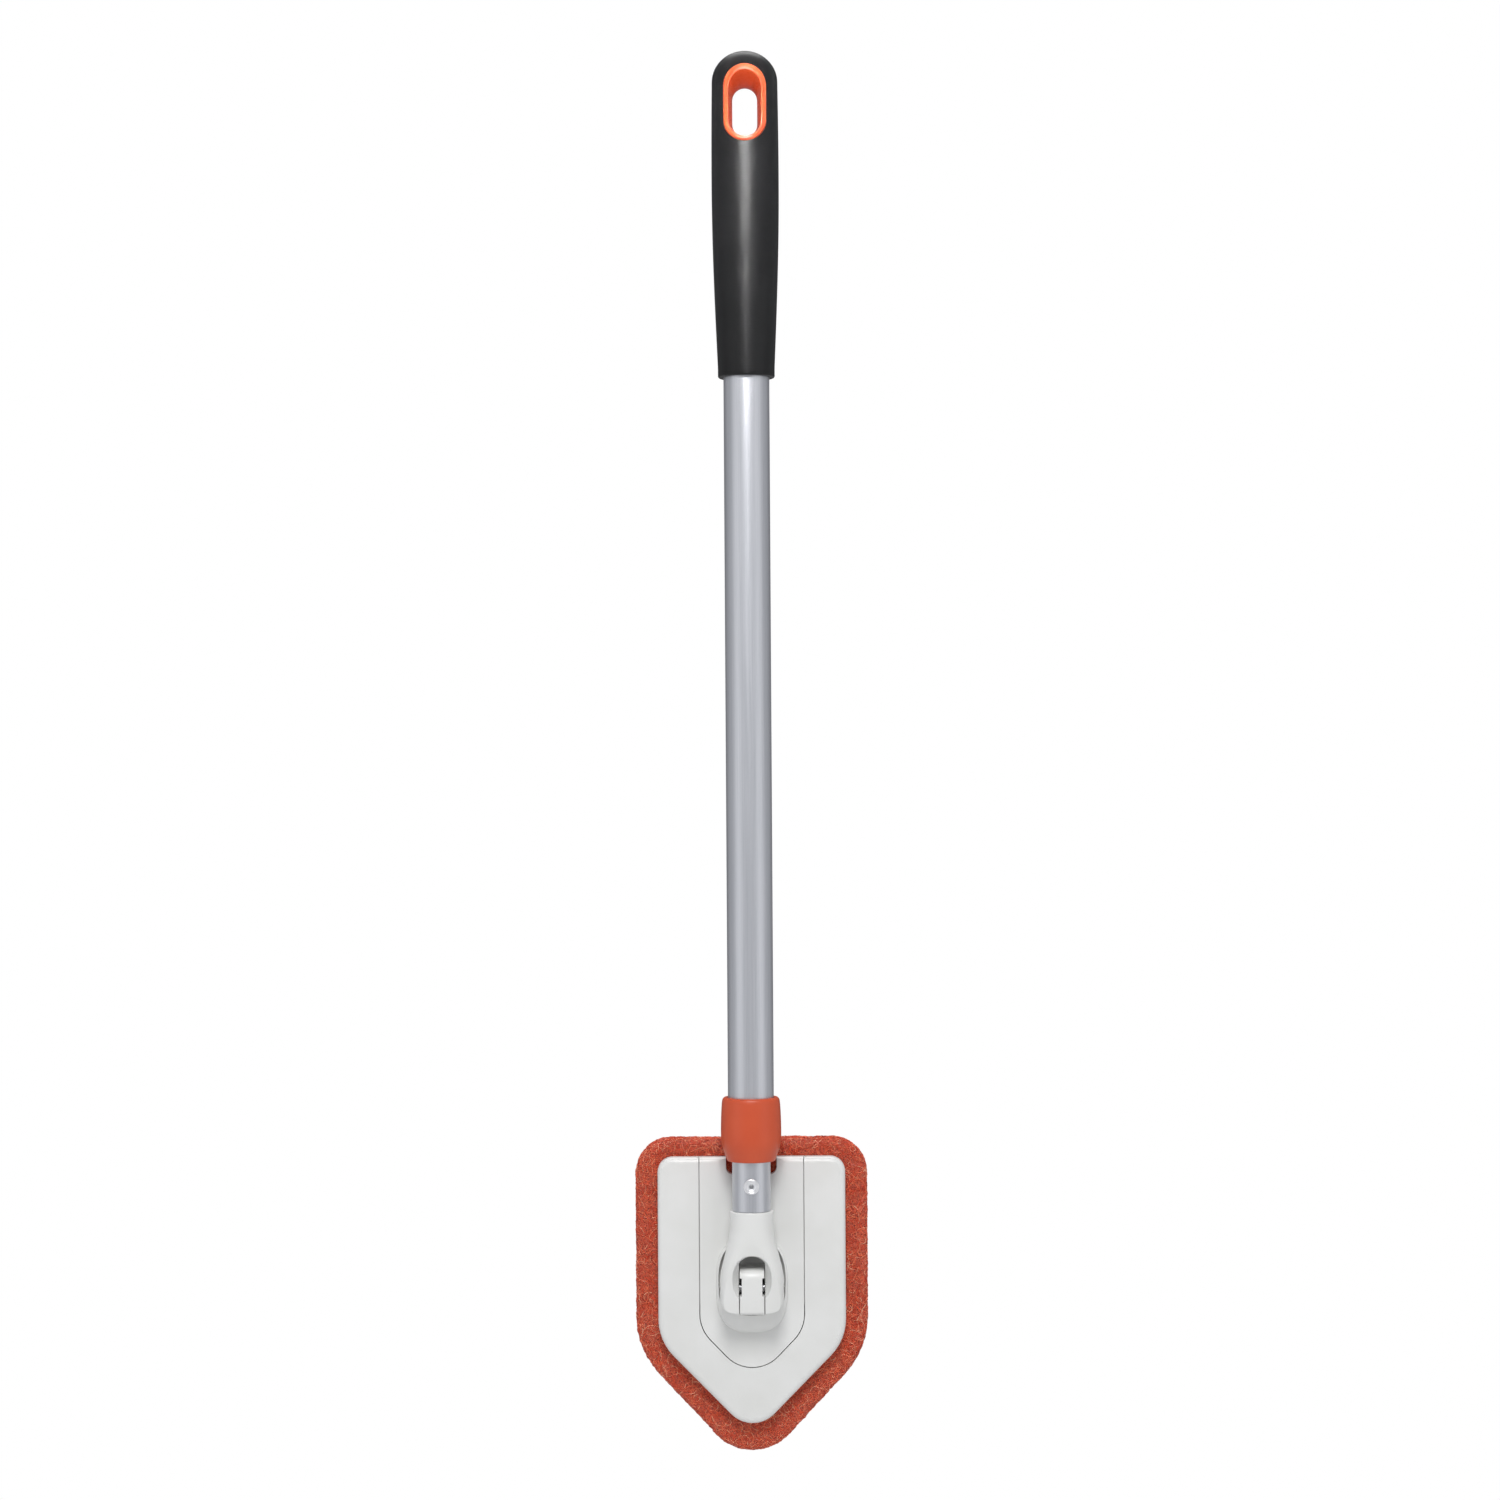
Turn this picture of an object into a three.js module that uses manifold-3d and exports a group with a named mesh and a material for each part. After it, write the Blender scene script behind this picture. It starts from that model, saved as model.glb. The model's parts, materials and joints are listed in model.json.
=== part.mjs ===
// Extendable pole scraper with a pivoting, five-sided scouring head.
// Millimetres, +Z up. The tool hangs by the hole in its grip: the origin is where a hook bears, at the
// top of the hole's waist. The pole runs down -Z, the head's plate faces -Y and its pad faces +Y.
import * as THREE from "three";
import { mergeVertices } from "three/addons/utils/BufferGeometryUtils.js";
import Module from "manifold-3d";

const wasm = await Module();
wasm.setup();

// ---------------------------------------------------------------- driving dimensions
// Lengths along the pole, from the top down.
const GRIP_CROWN = 17.4; // grip above the hook's bearing point
const GRIP_LENGTH = 153;
const OUTER_TUBE_SHOWING = 337;
const COLLAR_LENGTH = 29.9;
const INNER_TUBE_SHOWING = 23.4;
const NECK_ABOVE_PIN = 36.1;
const NECK_BELOW_PIN = 12.7;
const EXTENSION_TRAVEL = 406;

// Tubes.
const INNER_TUBE_RADIUS = 9;
const TUBE_WALL = 1;
const TELESCOPE_GAP = 0.75; // inner tube to outer tube, on the radius
const SEAT = 0.1; // glued, moulded and pressed fits
const SLIDE_FIT = 0.15; // slow sliding and turning fits

// Grip.
const GRIP_END_WALL = 2.55; // grip's end over the outer tube
const GRIP_SWELL = 2.45; // how much the belly widens past the end
const GRIP_FLATTENING = 0.12; // share that the belly is shallower than it is wide
const GRIP_CROWN_HEIGHT = 14.6; // rounded top
const SLEEVE_WALL = 2.4;
const SLEEVE_SKIRT = 40; // sleeve below the core, straight on the tube
const GRIP_TUBE_DEPTH = 95.6; // tube inside the grip
const GRIP_PIN_RADIUS = 1.5;
const GRIP_PIN_OVERHANG = 1.5; // past the tube, each side
const GRIP_PIN_BELOW_TUBE_TOP = 10;

// Hang hole: a stadium that narrows to a waist at mid-depth.
const HOLE_WAIST_WIDTH = 11.5;
const HOLE_WAIST_HEIGHT = 22.8;
const HOLE_FLARE = 2.45; // wider at the face than at the waist, each side
const HOLE_TOP_RISE = 4.85; // extra slope of the upper wall
const LINER_LIP = 1.8;
const LINER_PROUD = 0.35;

// Twist lock.
const THREAD_PITCH = 3;
const UNLOCK_TURN = 1 / 3;
const FERRULE_WALL = 1.45;
const FERRULE_LENGTH = 10.6;
const FERRULE_THROAT = 0.25; // ferrule's mouth round the inner tube
const FERRULE_SEAT_DEPTH = 6.6; // outer tube inside the ferrule
const COLLAR_WALL = 1.65;
const COLLAR_LIP = 1.6;
const COLLAR_MOUTH = 0.25; // collar's lip round the outer tube
const COLLAR_NOSE_WALL = 2;
const THREAD_PLAY = 0.2;
const LOCK_PLAY = 0.3; // between the faces that meet in the lock
const COLLET_SLOT = 1.2;
const COLLET_BRIDGE = 2; // unslotted top of the collet
const CONE_SHARE = 0.32; // the part of the collar's length that is a cone inside
const COLLET_THROAT = 0.5; // collar's mouth round the inner tube
const GUIDE_LENGTH = 8;
const GUIDE_SPLIT = 1.5;
const PLUG_FLANGE = 1.2;
const PLUG_SPIGOT = 12;
const PLUG_HEADROOM = 0.6; // between the plug and the grip's core, when the pole is closed
const GUIDE_WALL = 1.5;
const GUIDE_PLAY = 0.3; // guide ring between the plug's flanges
const STOP_PLAY = 0.5; // between the plug and the ferrule's step, when the pole is fully out

// Neck, fork and hinge.
const NECK_STEP = 1.2; // neck's shoulder past the inner tube
const SPIGOT_LENGTH = 22;
const SPIGOT_BORE = 5.5;
const NECK_WEB = 7; // solid neck between the lug's slot and the spigot's bore
const FORK_HALF_WIDTH = 15;
const FORK_NOSE_DEPTH = 6.6; // front of the fork's lower edge, ahead of the pin
const PIN_RADIUS = 2.1;
const PIN_PLAY = 0.1;
const SLOT_HALF_WIDTH = 6.1;
const SLOT_ABOVE_PIN = 13.7;
const WINDOW_HALF_WIDTH = 9.15;
const WINDOW_HALF_HEIGHT = 11;
const WINDOW_DEPTH = 5.5;
const CAP_RADIUS = 3.2;
const CAP_THICKNESS = 1.6;
const RIVET_ABOVE_NECK = 12.3;
const RIVET_FLANGE_RADIUS = 3.65;
const RIVET_SHANK_RADIUS = 1.95;
const RIVET_BULB = 0.7; // bulb past the shank, on the radius
const RIVET_HOLE_RADIUS = 1.15;
const MANDREL_RADIUS = 0.95;

// Head: places are measured from the hinge pin.
const HEAD_TOP = 59.8;
const FRAME_WIDTH = 88.8;
const FRAME_TIP = -66.1;
const FRAME_THICKNESS = 6.9;
const FRAME_WALL = 2.2;
const RIB_THICKNESS = 1.6;
const RIB_SPACING = 24;
const CARRIER_WIDTH = 49;
const CARRIER_TIP = -39.2;
const CARRIER_THICKNESS = 4;
const PARTING_GAP = 0.45;
const PAD_WIDTH = 110.4;
const PAD_TOP = 67.6;
const PAD_TIP = -80.7;
const PAD_THICKNESS = 18;
const PAD_EDGE = 2.5;
const NECK_TO_FACE = 0.4; // folded neck to the carrier's face
const FORK_CLEARANCE = 0.4; // fork to the pocket that it swings in
const POCKET_FLOOR = 1.7;
const FLOOR_THICKNESS = 1.2;
const ADHESIVE_THICKNESS = 0.4;
const ADHESIVE_INSET = 3;
const TONGUE_REACH = 1.2;
const TONGUE_THICKNESS = 1.5;
const TONGUE_TOP = 56;
const TONGUE_FOOT = -10;
const TONGUE_ROOM = 3; // groove past the tongue's foot
const NOTCH_WIDTH = 24;
const NOTCH_DEPTH = 8.2;
const NOTCH_RADIUS = 3.5;
const SCOOP_RADIUS = 46;
const SCOOP_DEPTH = 3; // at the top edge
const SCOOP_LENGTH = 40;
const BOSS_HALF_WIDTH = 17;
const BOSS_HALF_HEIGHT = 21.7;
const BOSS_RISE = 8.5;
const LUG_HALF_WIDTH = 5.8;
const LUG_WAIST = 4.8;
const LUG_CROWN = 9.4;
const LUG_CROWN_RADIUS = 5;
const LUG_NOTCH_HEIGHT = 7.6;

// Facets.
const TUBE_SIDES = 32;
const LOFT_SIDES = 28;
const SMALL_SIDES = 20;
const PIN_SIDES = 24;
const HOLE_SEGMENTS = 16; // round each end of the hang hole
const WELD = 1e-4;
const BEYOND = 1; // how far a cutter runs past what it cuts
const FAR = 90; // half-spaces are blocks of this size
const SKIN = 0.01; // a cutter's face past the flat face that it lies on

// ---------------------------------------------------------------- sizes that follow
const innerBore = INNER_TUBE_RADIUS - TUBE_WALL;
const outerBore = INNER_TUBE_RADIUS + TELESCOPE_GAP;
const outerRadius = outerBore + TUBE_WALL;
const gripEndRadius = outerRadius + GRIP_END_WALL;
const neckRadius = INNER_TUBE_RADIUS + NECK_STEP;
const ferruleRadius = outerRadius + SEAT + FERRULE_WALL;
const collarBore = ferruleRadius + THREAD_PLAY;
const collarRadius = collarBore + COLLAR_WALL;
const unlockShift = THREAD_PITCH * UNLOCK_TURN;

const gripBottom = GRIP_CROWN - GRIP_LENGTH;
const tubeTop = gripBottom + GRIP_TUBE_DEPTH;
const collarTop = gripBottom - OUTER_TUBE_SHOWING;
const collarBottom = collarTop - COLLAR_LENGTH;
const neckTop = collarBottom - INNER_TUBE_SHOWING;
const pinHeight = neckTop - NECK_ABOVE_PIN;
const ferruleTop = collarTop - COLLAR_LIP - unlockShift - LOCK_PLAY;
const tubeEnd = ferruleTop - FERRULE_SEAT_DEPTH;
const ferruleBottom = ferruleTop - FERRULE_LENGTH;
const guideBottom = tubeEnd + EXTENSION_TRAVEL + STOP_PLAY + PLUG_FLANGE + GUIDE_PLAY;
const guideTop = guideBottom + GUIDE_LENGTH;
const plugTop = guideTop + GUIDE_PLAY + PLUG_FLANGE;
const innerTubeTop = guideBottom - GUIDE_PLAY - PLUG_FLANGE - SEAT;

// The fork's corners sweep this far from the pin, and the carrier's pocket clears them.
const forkSweep = Math.hypot(FORK_NOSE_DEPTH, NECK_BELOW_PIN) - 0.4;
const pocketRadius = forkSweep + FORK_CLEARANCE;
const faceDepth = neckRadius + NECK_TO_FACE;
const carrierBack = Math.max(pocketRadius + POCKET_FLOOR, faceDepth + CARRIER_THICKNESS);
const floorFront = carrierBack + 2 * SLIDE_FIT;
const frameBack = Math.max(floorFront + FLOOR_THICKNESS, faceDepth + FRAME_THICKNESS);
const adhesiveFront = frameBack + SEAT;
const padFront = adhesiveFront + ADHESIVE_THICKNESS + SEAT;
const padBack = padFront + PAD_THICKNESS;

// ---------------------------------------------------------------- finishes
const softBlack = { color: 0x28282a, roughness: 0.62, metalness: 0 };
const orange = { color: 0xc6593f, roughness: 0.42, metalness: 0 };
const white = { color: 0xdededb, roughness: 0.4, metalness: 0 };
const grey = { color: 0x8f9092, roughness: 0.5, metalness: 0 };
const satinAluminium = { color: 0xc3c4c8, roughness: 0.38, metalness: 1 };
const steel = { color: 0x9a9a9c, roughness: 0.3, metalness: 1 };
const scouringFibre = { color: 0xb4503e, roughness: 0.95, metalness: 0 };
const glue = { color: 0xd8d2c0, roughness: 0.6, metalness: 0 };

// ---------------------------------------------------------------- geometry helpers
// A closed geometry as a manifold-3d solid, facing out whichever way its profile ran.
function solid(geometry) {
  const bare = geometry.index ? geometry.toNonIndexed() : geometry.clone();
  bare.deleteAttribute("normal");
  bare.deleteAttribute("uv");
  const merged = mergeVertices(bare, WELD);
  const at = merged.attributes.position;
  const corner = [new THREE.Vector3(), new THREE.Vector3(), new THREE.Vector3()];
  const triangles = [];
  let volume = 0;
  for (let i = 0; i < merged.index.count; i += 3) {
    const [a, b, c] = [0, 1, 2].map((k) => merged.index.getX(i + k));
    if (a === b || b === c || c === a) continue;
    [a, b, c].forEach((v, k) => corner[k].fromBufferAttribute(at, v));
    volume += corner[0].dot(corner[1].clone().cross(corner[2]));
    triangles.push([a, b, c]);
  }
  const outward = volume < 0 ? triangles.map(([a, b, c]) => [a, c, b]) : triangles;
  return new wasm.Manifold(
    new wasm.Mesh({
      numProp: 3,
      vertProperties: new Float32Array(at.array),
      triVerts: new Uint32Array(outward.flat()),
    }),
  );
}

// A finished solid as a named mesh with its own material.
function piece(name, body, look) {
  const { vertProperties, triVerts } = body.getMesh();
  const geometry = new THREE.BufferGeometry();
  geometry.setAttribute("position", new THREE.BufferAttribute(vertProperties, 3));
  geometry.setIndex(new THREE.BufferAttribute(triVerts, 1));
  geometry.computeVertexNormals();
  const mesh = new THREE.Mesh(geometry, new THREE.MeshStandardMaterial(look));
  mesh.name = name;
  return mesh;
}

// A profile of [radius, height] points turned about Z; a ring's profile closes on its first point.
function turned(profile, sides = TUBE_SIDES) {
  const points = profile.map(([radius, height]) => new THREE.Vector2(radius, height));
  return new THREE.LatheGeometry(points, sides).rotateX(Math.PI / 2);
}

function ringProfile(inner, outer, bottom, top) {
  return [[inner, bottom], [outer, bottom], [outer, top], [inner, top], [inner, bottom]];
}

function rodProfile(radius, bottom, top) {
  return [[0, bottom], [radius, bottom], [radius, top], [0, top]];
}

const tube = (inner, outer, bottom, top) => solid(turned(ringProfile(inner, outer, bottom, top)));
const rod = (radius, bottom, top, sides) => solid(turned(rodProfile(radius, bottom, top), sides));

// A rod along X, from one place to another.
function crossRod(radius, from, to, sides = SMALL_SIDES) {
  return solid(turned(rodProfile(radius, from, to), sides).rotateY(Math.PI / 2));
}

function block(size, centre) {
  return solid(new THREE.BoxGeometry(...size).translate(...centre));
}

// An outline in X and Z, extruded in depth from front to back.
function slab(shape, front, back, curveSegments = 8) {
  const geometry = new THREE.ExtrudeGeometry(shape, {
    depth: back - front,
    bevelEnabled: false,
    curveSegments,
  });
  return solid(geometry.rotateX(Math.PI / 2).translate(0, back, 0));
}

// A slab with rounded rims that stays inside its outline.
function softSlab(shape, front, back, edge, segments) {
  const geometry = new THREE.ExtrudeGeometry(shape, {
    depth: back - front - 2 * edge,
    bevelEnabled: true,
    bevelThickness: edge,
    bevelSize: edge,
    bevelOffset: -edge,
    bevelSegments: segments,
  });
  return solid(geometry.rotateX(Math.PI / 2).translate(0, back - edge, 0));
}

// An outline in Y and Z, extruded both ways along X.
function sideSlab(shape, halfWidth, curveSegments = 8) {
  const geometry = new THREE.ExtrudeGeometry(shape, {
    depth: 2 * halfWidth,
    bevelEnabled: false,
    curveSegments,
  });
  const axes = new THREE.Matrix4().makeBasis(
    new THREE.Vector3(0, 1, 0),
    new THREE.Vector3(0, 0, 1),
    new THREE.Vector3(1, 0, 0),
  );
  return solid(geometry.applyMatrix4(axes).translate(-halfWidth, 0, 0));
}

// A polygon with each corner rounded by its own radius; corners are [x, z, radius] in turn.
function roundedShape(corners, step = Math.PI / 16) {
  const points = [];
  corners.forEach(([x, z, radius], i) => {
    const here = new THREE.Vector2(x, z);
    const [px, pz] = corners[(i + corners.length - 1) % corners.length];
    const [nx, nz] = corners[(i + 1) % corners.length];
    const back = new THREE.Vector2(px, pz).sub(here).normalize();
    const ahead = new THREE.Vector2(nx, nz).sub(here).normalize();
    if (radius <= 0) {
      points.push(here);
      return;
    }
    const half = Math.acos(THREE.MathUtils.clamp(back.dot(ahead), -1, 1)) / 2;
    const middle = back.clone().add(ahead).normalize();
    const centre = here.clone().addScaledVector(middle, radius / Math.sin(half));
    const from = here.clone().addScaledVector(back, radius / Math.tan(half)).sub(centre);
    const to = here.clone().addScaledVector(ahead, radius / Math.tan(half)).sub(centre);
    const turn = Math.atan2(from.cross(to), from.dot(to));
    const count = Math.max(2, Math.ceil(Math.abs(turn) / step));
    for (let k = 0; k <= count; k++) {
      points.push(from.clone().rotateAround(new THREE.Vector2(), (turn * k) / count).add(centre));
    }
  });
  return new THREE.Shape(points);
}

// The head's five-sided outline: square top corners, straight sides and a rounded V at the tip.
function shield({ halfWidth, top, tip, slope, topRadius, sideRadius, tipRadius }) {
  const angle = THREE.MathUtils.degToRad(slope);
  const sharpTip = tip - tipRadius * (1 / Math.cos(angle) - 1);
  const shoulder = sharpTip + halfWidth * Math.tan(angle);
  return roundedShape([
    [-halfWidth, top, topRadius],
    [-halfWidth, shoulder, sideRadius],
    [0, sharpTip, tipRadius],
    [halfWidth, shoulder, sideRadius],
    [halfWidth, top, topRadius],
  ]);
}

// The same outline moved out (or in, if negative) by a distance.
function grown(outline, distance) {
  return {
    ...outline,
    halfWidth: outline.halfWidth + distance,
    top: outline.top + distance,
    tip: outline.tip - distance,
    topRadius: Math.max(0, outline.topRadius + distance),
    sideRadius: outline.sideRadius + distance,
    tipRadius: outline.tipRadius + distance,
  };
}

// A column whose section changes with height. Each station is {z, a, b, power}: half-width,
// half-depth, and 2 for an ellipse or more for a squarer section.
function loft(stations, sides = LOFT_SIDES) {
  const rows = stations.length - 1;
  const geometry = new THREE.CylinderGeometry(1, 1, rows, sides, rows);
  const at = geometry.attributes.position;
  for (let i = 0; i < at.count; i++) {
    const row = Math.round(at.getY(i) + rows / 2);
    const { z, a, b, power = 2 } = stations[row];
    const [x, y] = [at.getX(i), at.getZ(i)];
    const size = Math.abs(x) ** power + Math.abs(y) ** power;
    const reach = size > WELD ? size ** (-1 / power) : 0;
    at.setXYZ(i, x * reach * a, y * reach * b, z);
  }
  return solid(geometry);
}

// ---------------------------------------------------------------- grip
// Half-width of the grip at a distance below its crown.
function gripHalfWidth(distance) {
  const share = distance / GRIP_LENGTH;
  const waning = THREE.MathUtils.clamp((0.97 - share) / 0.57, 0, 1);
  const easing = 0.1 * Math.max(0, (0.4 - share) / 0.25) ** 2;
  const swell = Math.sin((waning * Math.PI) / 2) - Math.min(easing, 0.14);
  const crown = Math.min(1, distance / GRIP_CROWN_HEIGHT);
  return (gripEndRadius + GRIP_SWELL * swell) * Math.sqrt(1 - (1 - crown) ** 2);
}

// The grip's outer form, moved out by a distance.
function gripForm(offset) {
  const stations = [];
  const crownRows = 6;
  for (let i = 0; i <= crownRows; i++) {
    const angle = (Math.PI / 2) * (0.12 + (0.88 * i) / crownRows);
    stations.push(GRIP_CROWN_HEIGHT * (1 - Math.cos(angle)));
  }
  const bodyRows = 8;
  for (let i = 1; i <= bodyRows; i++) {
    stations.push(THREE.MathUtils.lerp(GRIP_CROWN_HEIGHT, GRIP_LENGTH, i / bodyRows));
  }
  const form = stations.map((distance) => {
    const a = gripHalfWidth(distance);
    const swell = (a - gripEndRadius) / GRIP_SWELL;
    const flattening = GRIP_FLATTENING * THREE.MathUtils.clamp(swell, 0, 1);
    const crown = distance < GRIP_CROWN_HEIGHT ? GRIP_FLATTENING : flattening;
    const lift = offset * (1 - (2 * distance) / GRIP_LENGTH);
    return {
      z: GRIP_CROWN - distance + lift,
      a: Math.max(1, a + offset),
      b: Math.max(1, a * (1 - crown) + offset),
    };
  });
  return loft(form.reverse());
}

// An upright slot with round ends.
function stadium(halfWidth, top, bottom) {
  const shape = new THREE.Shape();
  shape.absarc(0, top - halfWidth, halfWidth, 0, Math.PI, false);
  shape.absarc(0, bottom + halfWidth, halfWidth, Math.PI, 2 * Math.PI, false);
  return shape;
}

const gripDepth = gripEndRadius + GRIP_SWELL; // past the grip's faces, front and back
const holeFace = {
  halfWidth: HOLE_WAIST_WIDTH / 2 + HOLE_FLARE,
  top: HOLE_FLARE + HOLE_TOP_RISE,
  bottom: -HOLE_WAIST_HEIGHT - HOLE_FLARE,
};

// The straight hole in the sleeve and the core that the liner sits in.
function linerSeat(clearance, front, back) {
  const reach = LINER_LIP + clearance;
  const outline = stadium(holeFace.halfWidth + reach, holeFace.top + reach, holeFace.bottom - reach);
  return slab(outline, front, back, HOLE_SEGMENTS);
}

// The bore: its waist is at mid-depth, and its upper wall slopes most.
function hangBore() {
  const waist = HOLE_WAIST_WIDTH / 2;
  const geometry = new THREE.ExtrudeGeometry(stadium(waist, 0, -HOLE_WAIST_HEIGHT), {
    depth: 2 * gripDepth,
    steps: 8,
    bevelEnabled: false,
    curveSegments: HOLE_SEGMENTS,
  });
  geometry.rotateX(Math.PI / 2).translate(0, gripDepth, 0);
  const at = geometry.attributes.position;
  const upper = -waist;
  const lower = waist - HOLE_WAIST_HEIGHT;
  for (let i = 0; i < at.count; i++) {
    const flare = (Math.abs(at.getY(i)) / gripDepth) ** 1.2;
    const isUpper = at.getZ(i) > (upper + lower) / 2;
    const centre = isUpper ? upper : lower;
    const scale = 1 + (HOLE_FLARE * flare) / waist;
    const lift = isUpper ? HOLE_TOP_RISE * flare : 0;
    at.setXYZ(i, at.getX(i) * scale, at.getY(i), centre + lift + (at.getZ(i) - centre) * scale);
  }
  return solid(geometry);
}

function hangRings() {
  const liner = gripForm(LINER_PROUD)
    .intersect(linerSeat(0, -gripDepth - BEYOND, gripDepth + BEYOND))
    .subtract(hangBore());
  const half = (side) => block([FAR, FAR, FAR], [0, (side * (FAR + SEAT)) / 2, 0]);
  return [
    piece("hang_ring_front", liner.intersect(half(-1)), orange),
    piece("hang_ring_back", liner.intersect(half(1)), orange),
  ];
}

const coreBottom = gripBottom + SLEEVE_SKIRT;
const gripPinHeight = tubeTop - GRIP_PIN_BELOW_TUBE_TOP;

function gripPinBore(radius) {
  return crossRod(radius, -gripDepth, gripDepth).translate([0, 0, gripPinHeight]);
}

function gripSleeve() {
  const coreRoom = gripForm(SEAT - SLEEVE_WALL).intersect(
    block([FAR, FAR, GRIP_LENGTH], [0, 0, coreBottom - SEAT + GRIP_LENGTH / 2]),
  );
  const body = gripForm(0)
    .subtract(coreRoom)
    .subtract(rod(outerRadius + SEAT, gripBottom - BEYOND, coreBottom + BEYOND))
    .subtract(linerSeat(SEAT, -gripDepth - BEYOND, gripDepth + BEYOND));
  return piece("grip_sleeve", body, softBlack);
}

function gripCore() {
  const spigotFoot = plugTop + PLUG_HEADROOM;
  const body = gripForm(-SLEEVE_WALL)
    .intersect(block([FAR, FAR, GRIP_LENGTH], [0, 0, coreBottom + GRIP_LENGTH / 2]))
    .subtract(tube(outerBore - SEAT, outerRadius + SEAT, coreBottom - BEYOND, tubeTop + SEAT))
    .subtract(rod(outerRadius, coreBottom - BEYOND, spigotFoot))
    .subtract(linerSeat(SEAT, -gripDepth - BEYOND, gripDepth + BEYOND))
    .subtract(gripPinBore(GRIP_PIN_RADIUS + SEAT));
  return piece("grip_core", body, grey);
}

function gripPin() {
  const reach = outerRadius + GRIP_PIN_OVERHANG;
  const body = crossRod(GRIP_PIN_RADIUS, -reach, reach).translate([0, 0, gripPinHeight]);
  return piece("grip_pin", body, steel);
}

// ---------------------------------------------------------------- pole and twist lock
function outerTube() {
  const body = tube(outerBore, outerRadius, tubeEnd + SEAT, tubeTop).subtract(
    gripPinBore(GRIP_PIN_RADIUS + SEAT),
  );
  return piece("outer_tube", body, satinAluminium);
}

// A bush glued on the tube's end. Its inner step stops the tube, and the plug when the pole is fully out.
function lockFerrule() {
  const seat = outerRadius + SEAT;
  const throat = INNER_TUBE_RADIUS + FERRULE_THROAT;
  const body = solid(
    turned([
      [throat, ferruleBottom],
      [ferruleRadius, ferruleBottom],
      [ferruleRadius, ferruleTop],
      [seat, ferruleTop],
      [seat, tubeEnd],
      [throat, tubeEnd],
      [throat, ferruleBottom],
    ]),
  );
  return piece("lock_ferrule", body, grey);
}

// Outer profile of the collar, from its nose up: [share of the length, radius].
const noseRadius = INNER_TUBE_RADIUS + COLLET_THROAT + COLLAR_NOSE_WALL;
const collarForm = [
  [0, noseRadius - 0.5],
  [0.03, noseRadius],
  [0.13, THREE.MathUtils.lerp(noseRadius, collarRadius, 0.43)],
  [0.225, THREE.MathUtils.lerp(noseRadius, collarRadius, 0.69)],
  [0.32, collarRadius - 0.15],
  [0.4, collarRadius - 0.03],
  [0.6, collarRadius - 0.02],
  [0.8, collarRadius - 0.2],
  [0.9, collarRadius - 0.42],
  [0.97, collarRadius - 0.85],
  [1, collarRadius - 1.5],
];
const coneFoot = collarBottom + COLLAR_NOSE_WALL;
const coneTop = collarBottom + CONE_SHARE * COLLAR_LENGTH;
const coneFootRadius = noseRadius - 0.3 * COLLAR_NOSE_WALL;

function lockCollar() {
  const throat = INNER_TUBE_RADIUS + COLLET_THROAT;
  const outside = collarForm.map(([share, radius]) => [radius, collarBottom + share * COLLAR_LENGTH]);
  const mouth = outerRadius + COLLAR_MOUTH;
  const inside = [
    [mouth, collarTop],
    [mouth, collarTop - COLLAR_LIP],
    [collarBore, collarTop - COLLAR_LIP],
    [collarBore, coneTop],
    [coneFootRadius, coneFoot],
    [throat, coneFoot],
    [throat, collarBottom],
  ];
  const body = solid(turned([...outside, ...inside, outside[0]]));
  return piece("lock_collar", body, orange);
}

function lockCollet() {
  const grip = INNER_TUBE_RADIUS + SLIDE_FIT;
  const top = ferruleBottom - LOCK_PLAY;
  const foot = coneFoot + LOCK_PLAY;
  const lean = (collarBore - coneFootRadius) / (coneTop - coneFoot);
  const footRadius = coneFootRadius + lean * LOCK_PLAY - LOCK_PLAY;
  const skirt = collarBore - LOCK_PLAY;
  const ring = solid(
    turned([[grip, foot], [footRadius, foot], [skirt, coneTop], [skirt, top], [grip, top], [grip, foot]]),
  );
  const slotTop = top - COLLET_BRIDGE;
  const slotFoot = foot - BEYOND;
  const slot = block([4 * collarRadius, COLLET_SLOT, slotTop - slotFoot], [0, 0, (slotTop + slotFoot) / 2]);
  return piece("lock_collet", ring.subtract(slot).subtract(slot.rotate([0, 0, 90])), grey);
}

function guidePlug() {
  const hub = outerBore - GUIDE_WALL;
  const flange = outerBore - SLIDE_FIT - PLUG_FLANGE / 5;
  const body = solid(
    turned([
      [0, innerTubeTop - PLUG_SPIGOT],
      [innerBore - SEAT, innerTubeTop - PLUG_SPIGOT],
      [innerBore - SEAT, innerTubeTop + SEAT],
      [flange, innerTubeTop + SEAT],
      [flange, guideBottom - GUIDE_PLAY],
      [hub, guideBottom - GUIDE_PLAY],
      [hub, guideTop + GUIDE_PLAY],
      [flange, guideTop + GUIDE_PLAY],
      [flange, plugTop],
      [0, plugTop],
    ]),
  );
  return piece("guide_plug", body, grey);
}

function guideRing() {
  const hub = outerBore - GUIDE_WALL;
  const ring = tube(hub + SLIDE_FIT, outerBore - SLIDE_FIT, guideBottom, guideTop);
  const middle = (guideBottom + guideTop) / 2;
  const split = block([GUIDE_SPLIT, 2 * hub, GUIDE_LENGTH + 2 * BEYOND], [0, hub + BEYOND, middle]);
  return piece("guide_ring", ring.subtract(split), white);
}

const rivetHeight = neckTop + RIVET_ABOVE_NECK;

// Something turned about Y, with its outer end towards -Y, at the rivet.
function atRivet(profile) {
  return solid(turned(profile, SMALL_SIDES).rotateX(-Math.PI / 2)).translate([
    0,
    -INNER_TUBE_RADIUS,
    rivetHeight,
  ]);
}

function rivetHole() {
  return atRivet(rodProfile(RIVET_SHANK_RADIUS + SEAT, -2 * BEYOND, INNER_TUBE_RADIUS - BEYOND));
}

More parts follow.
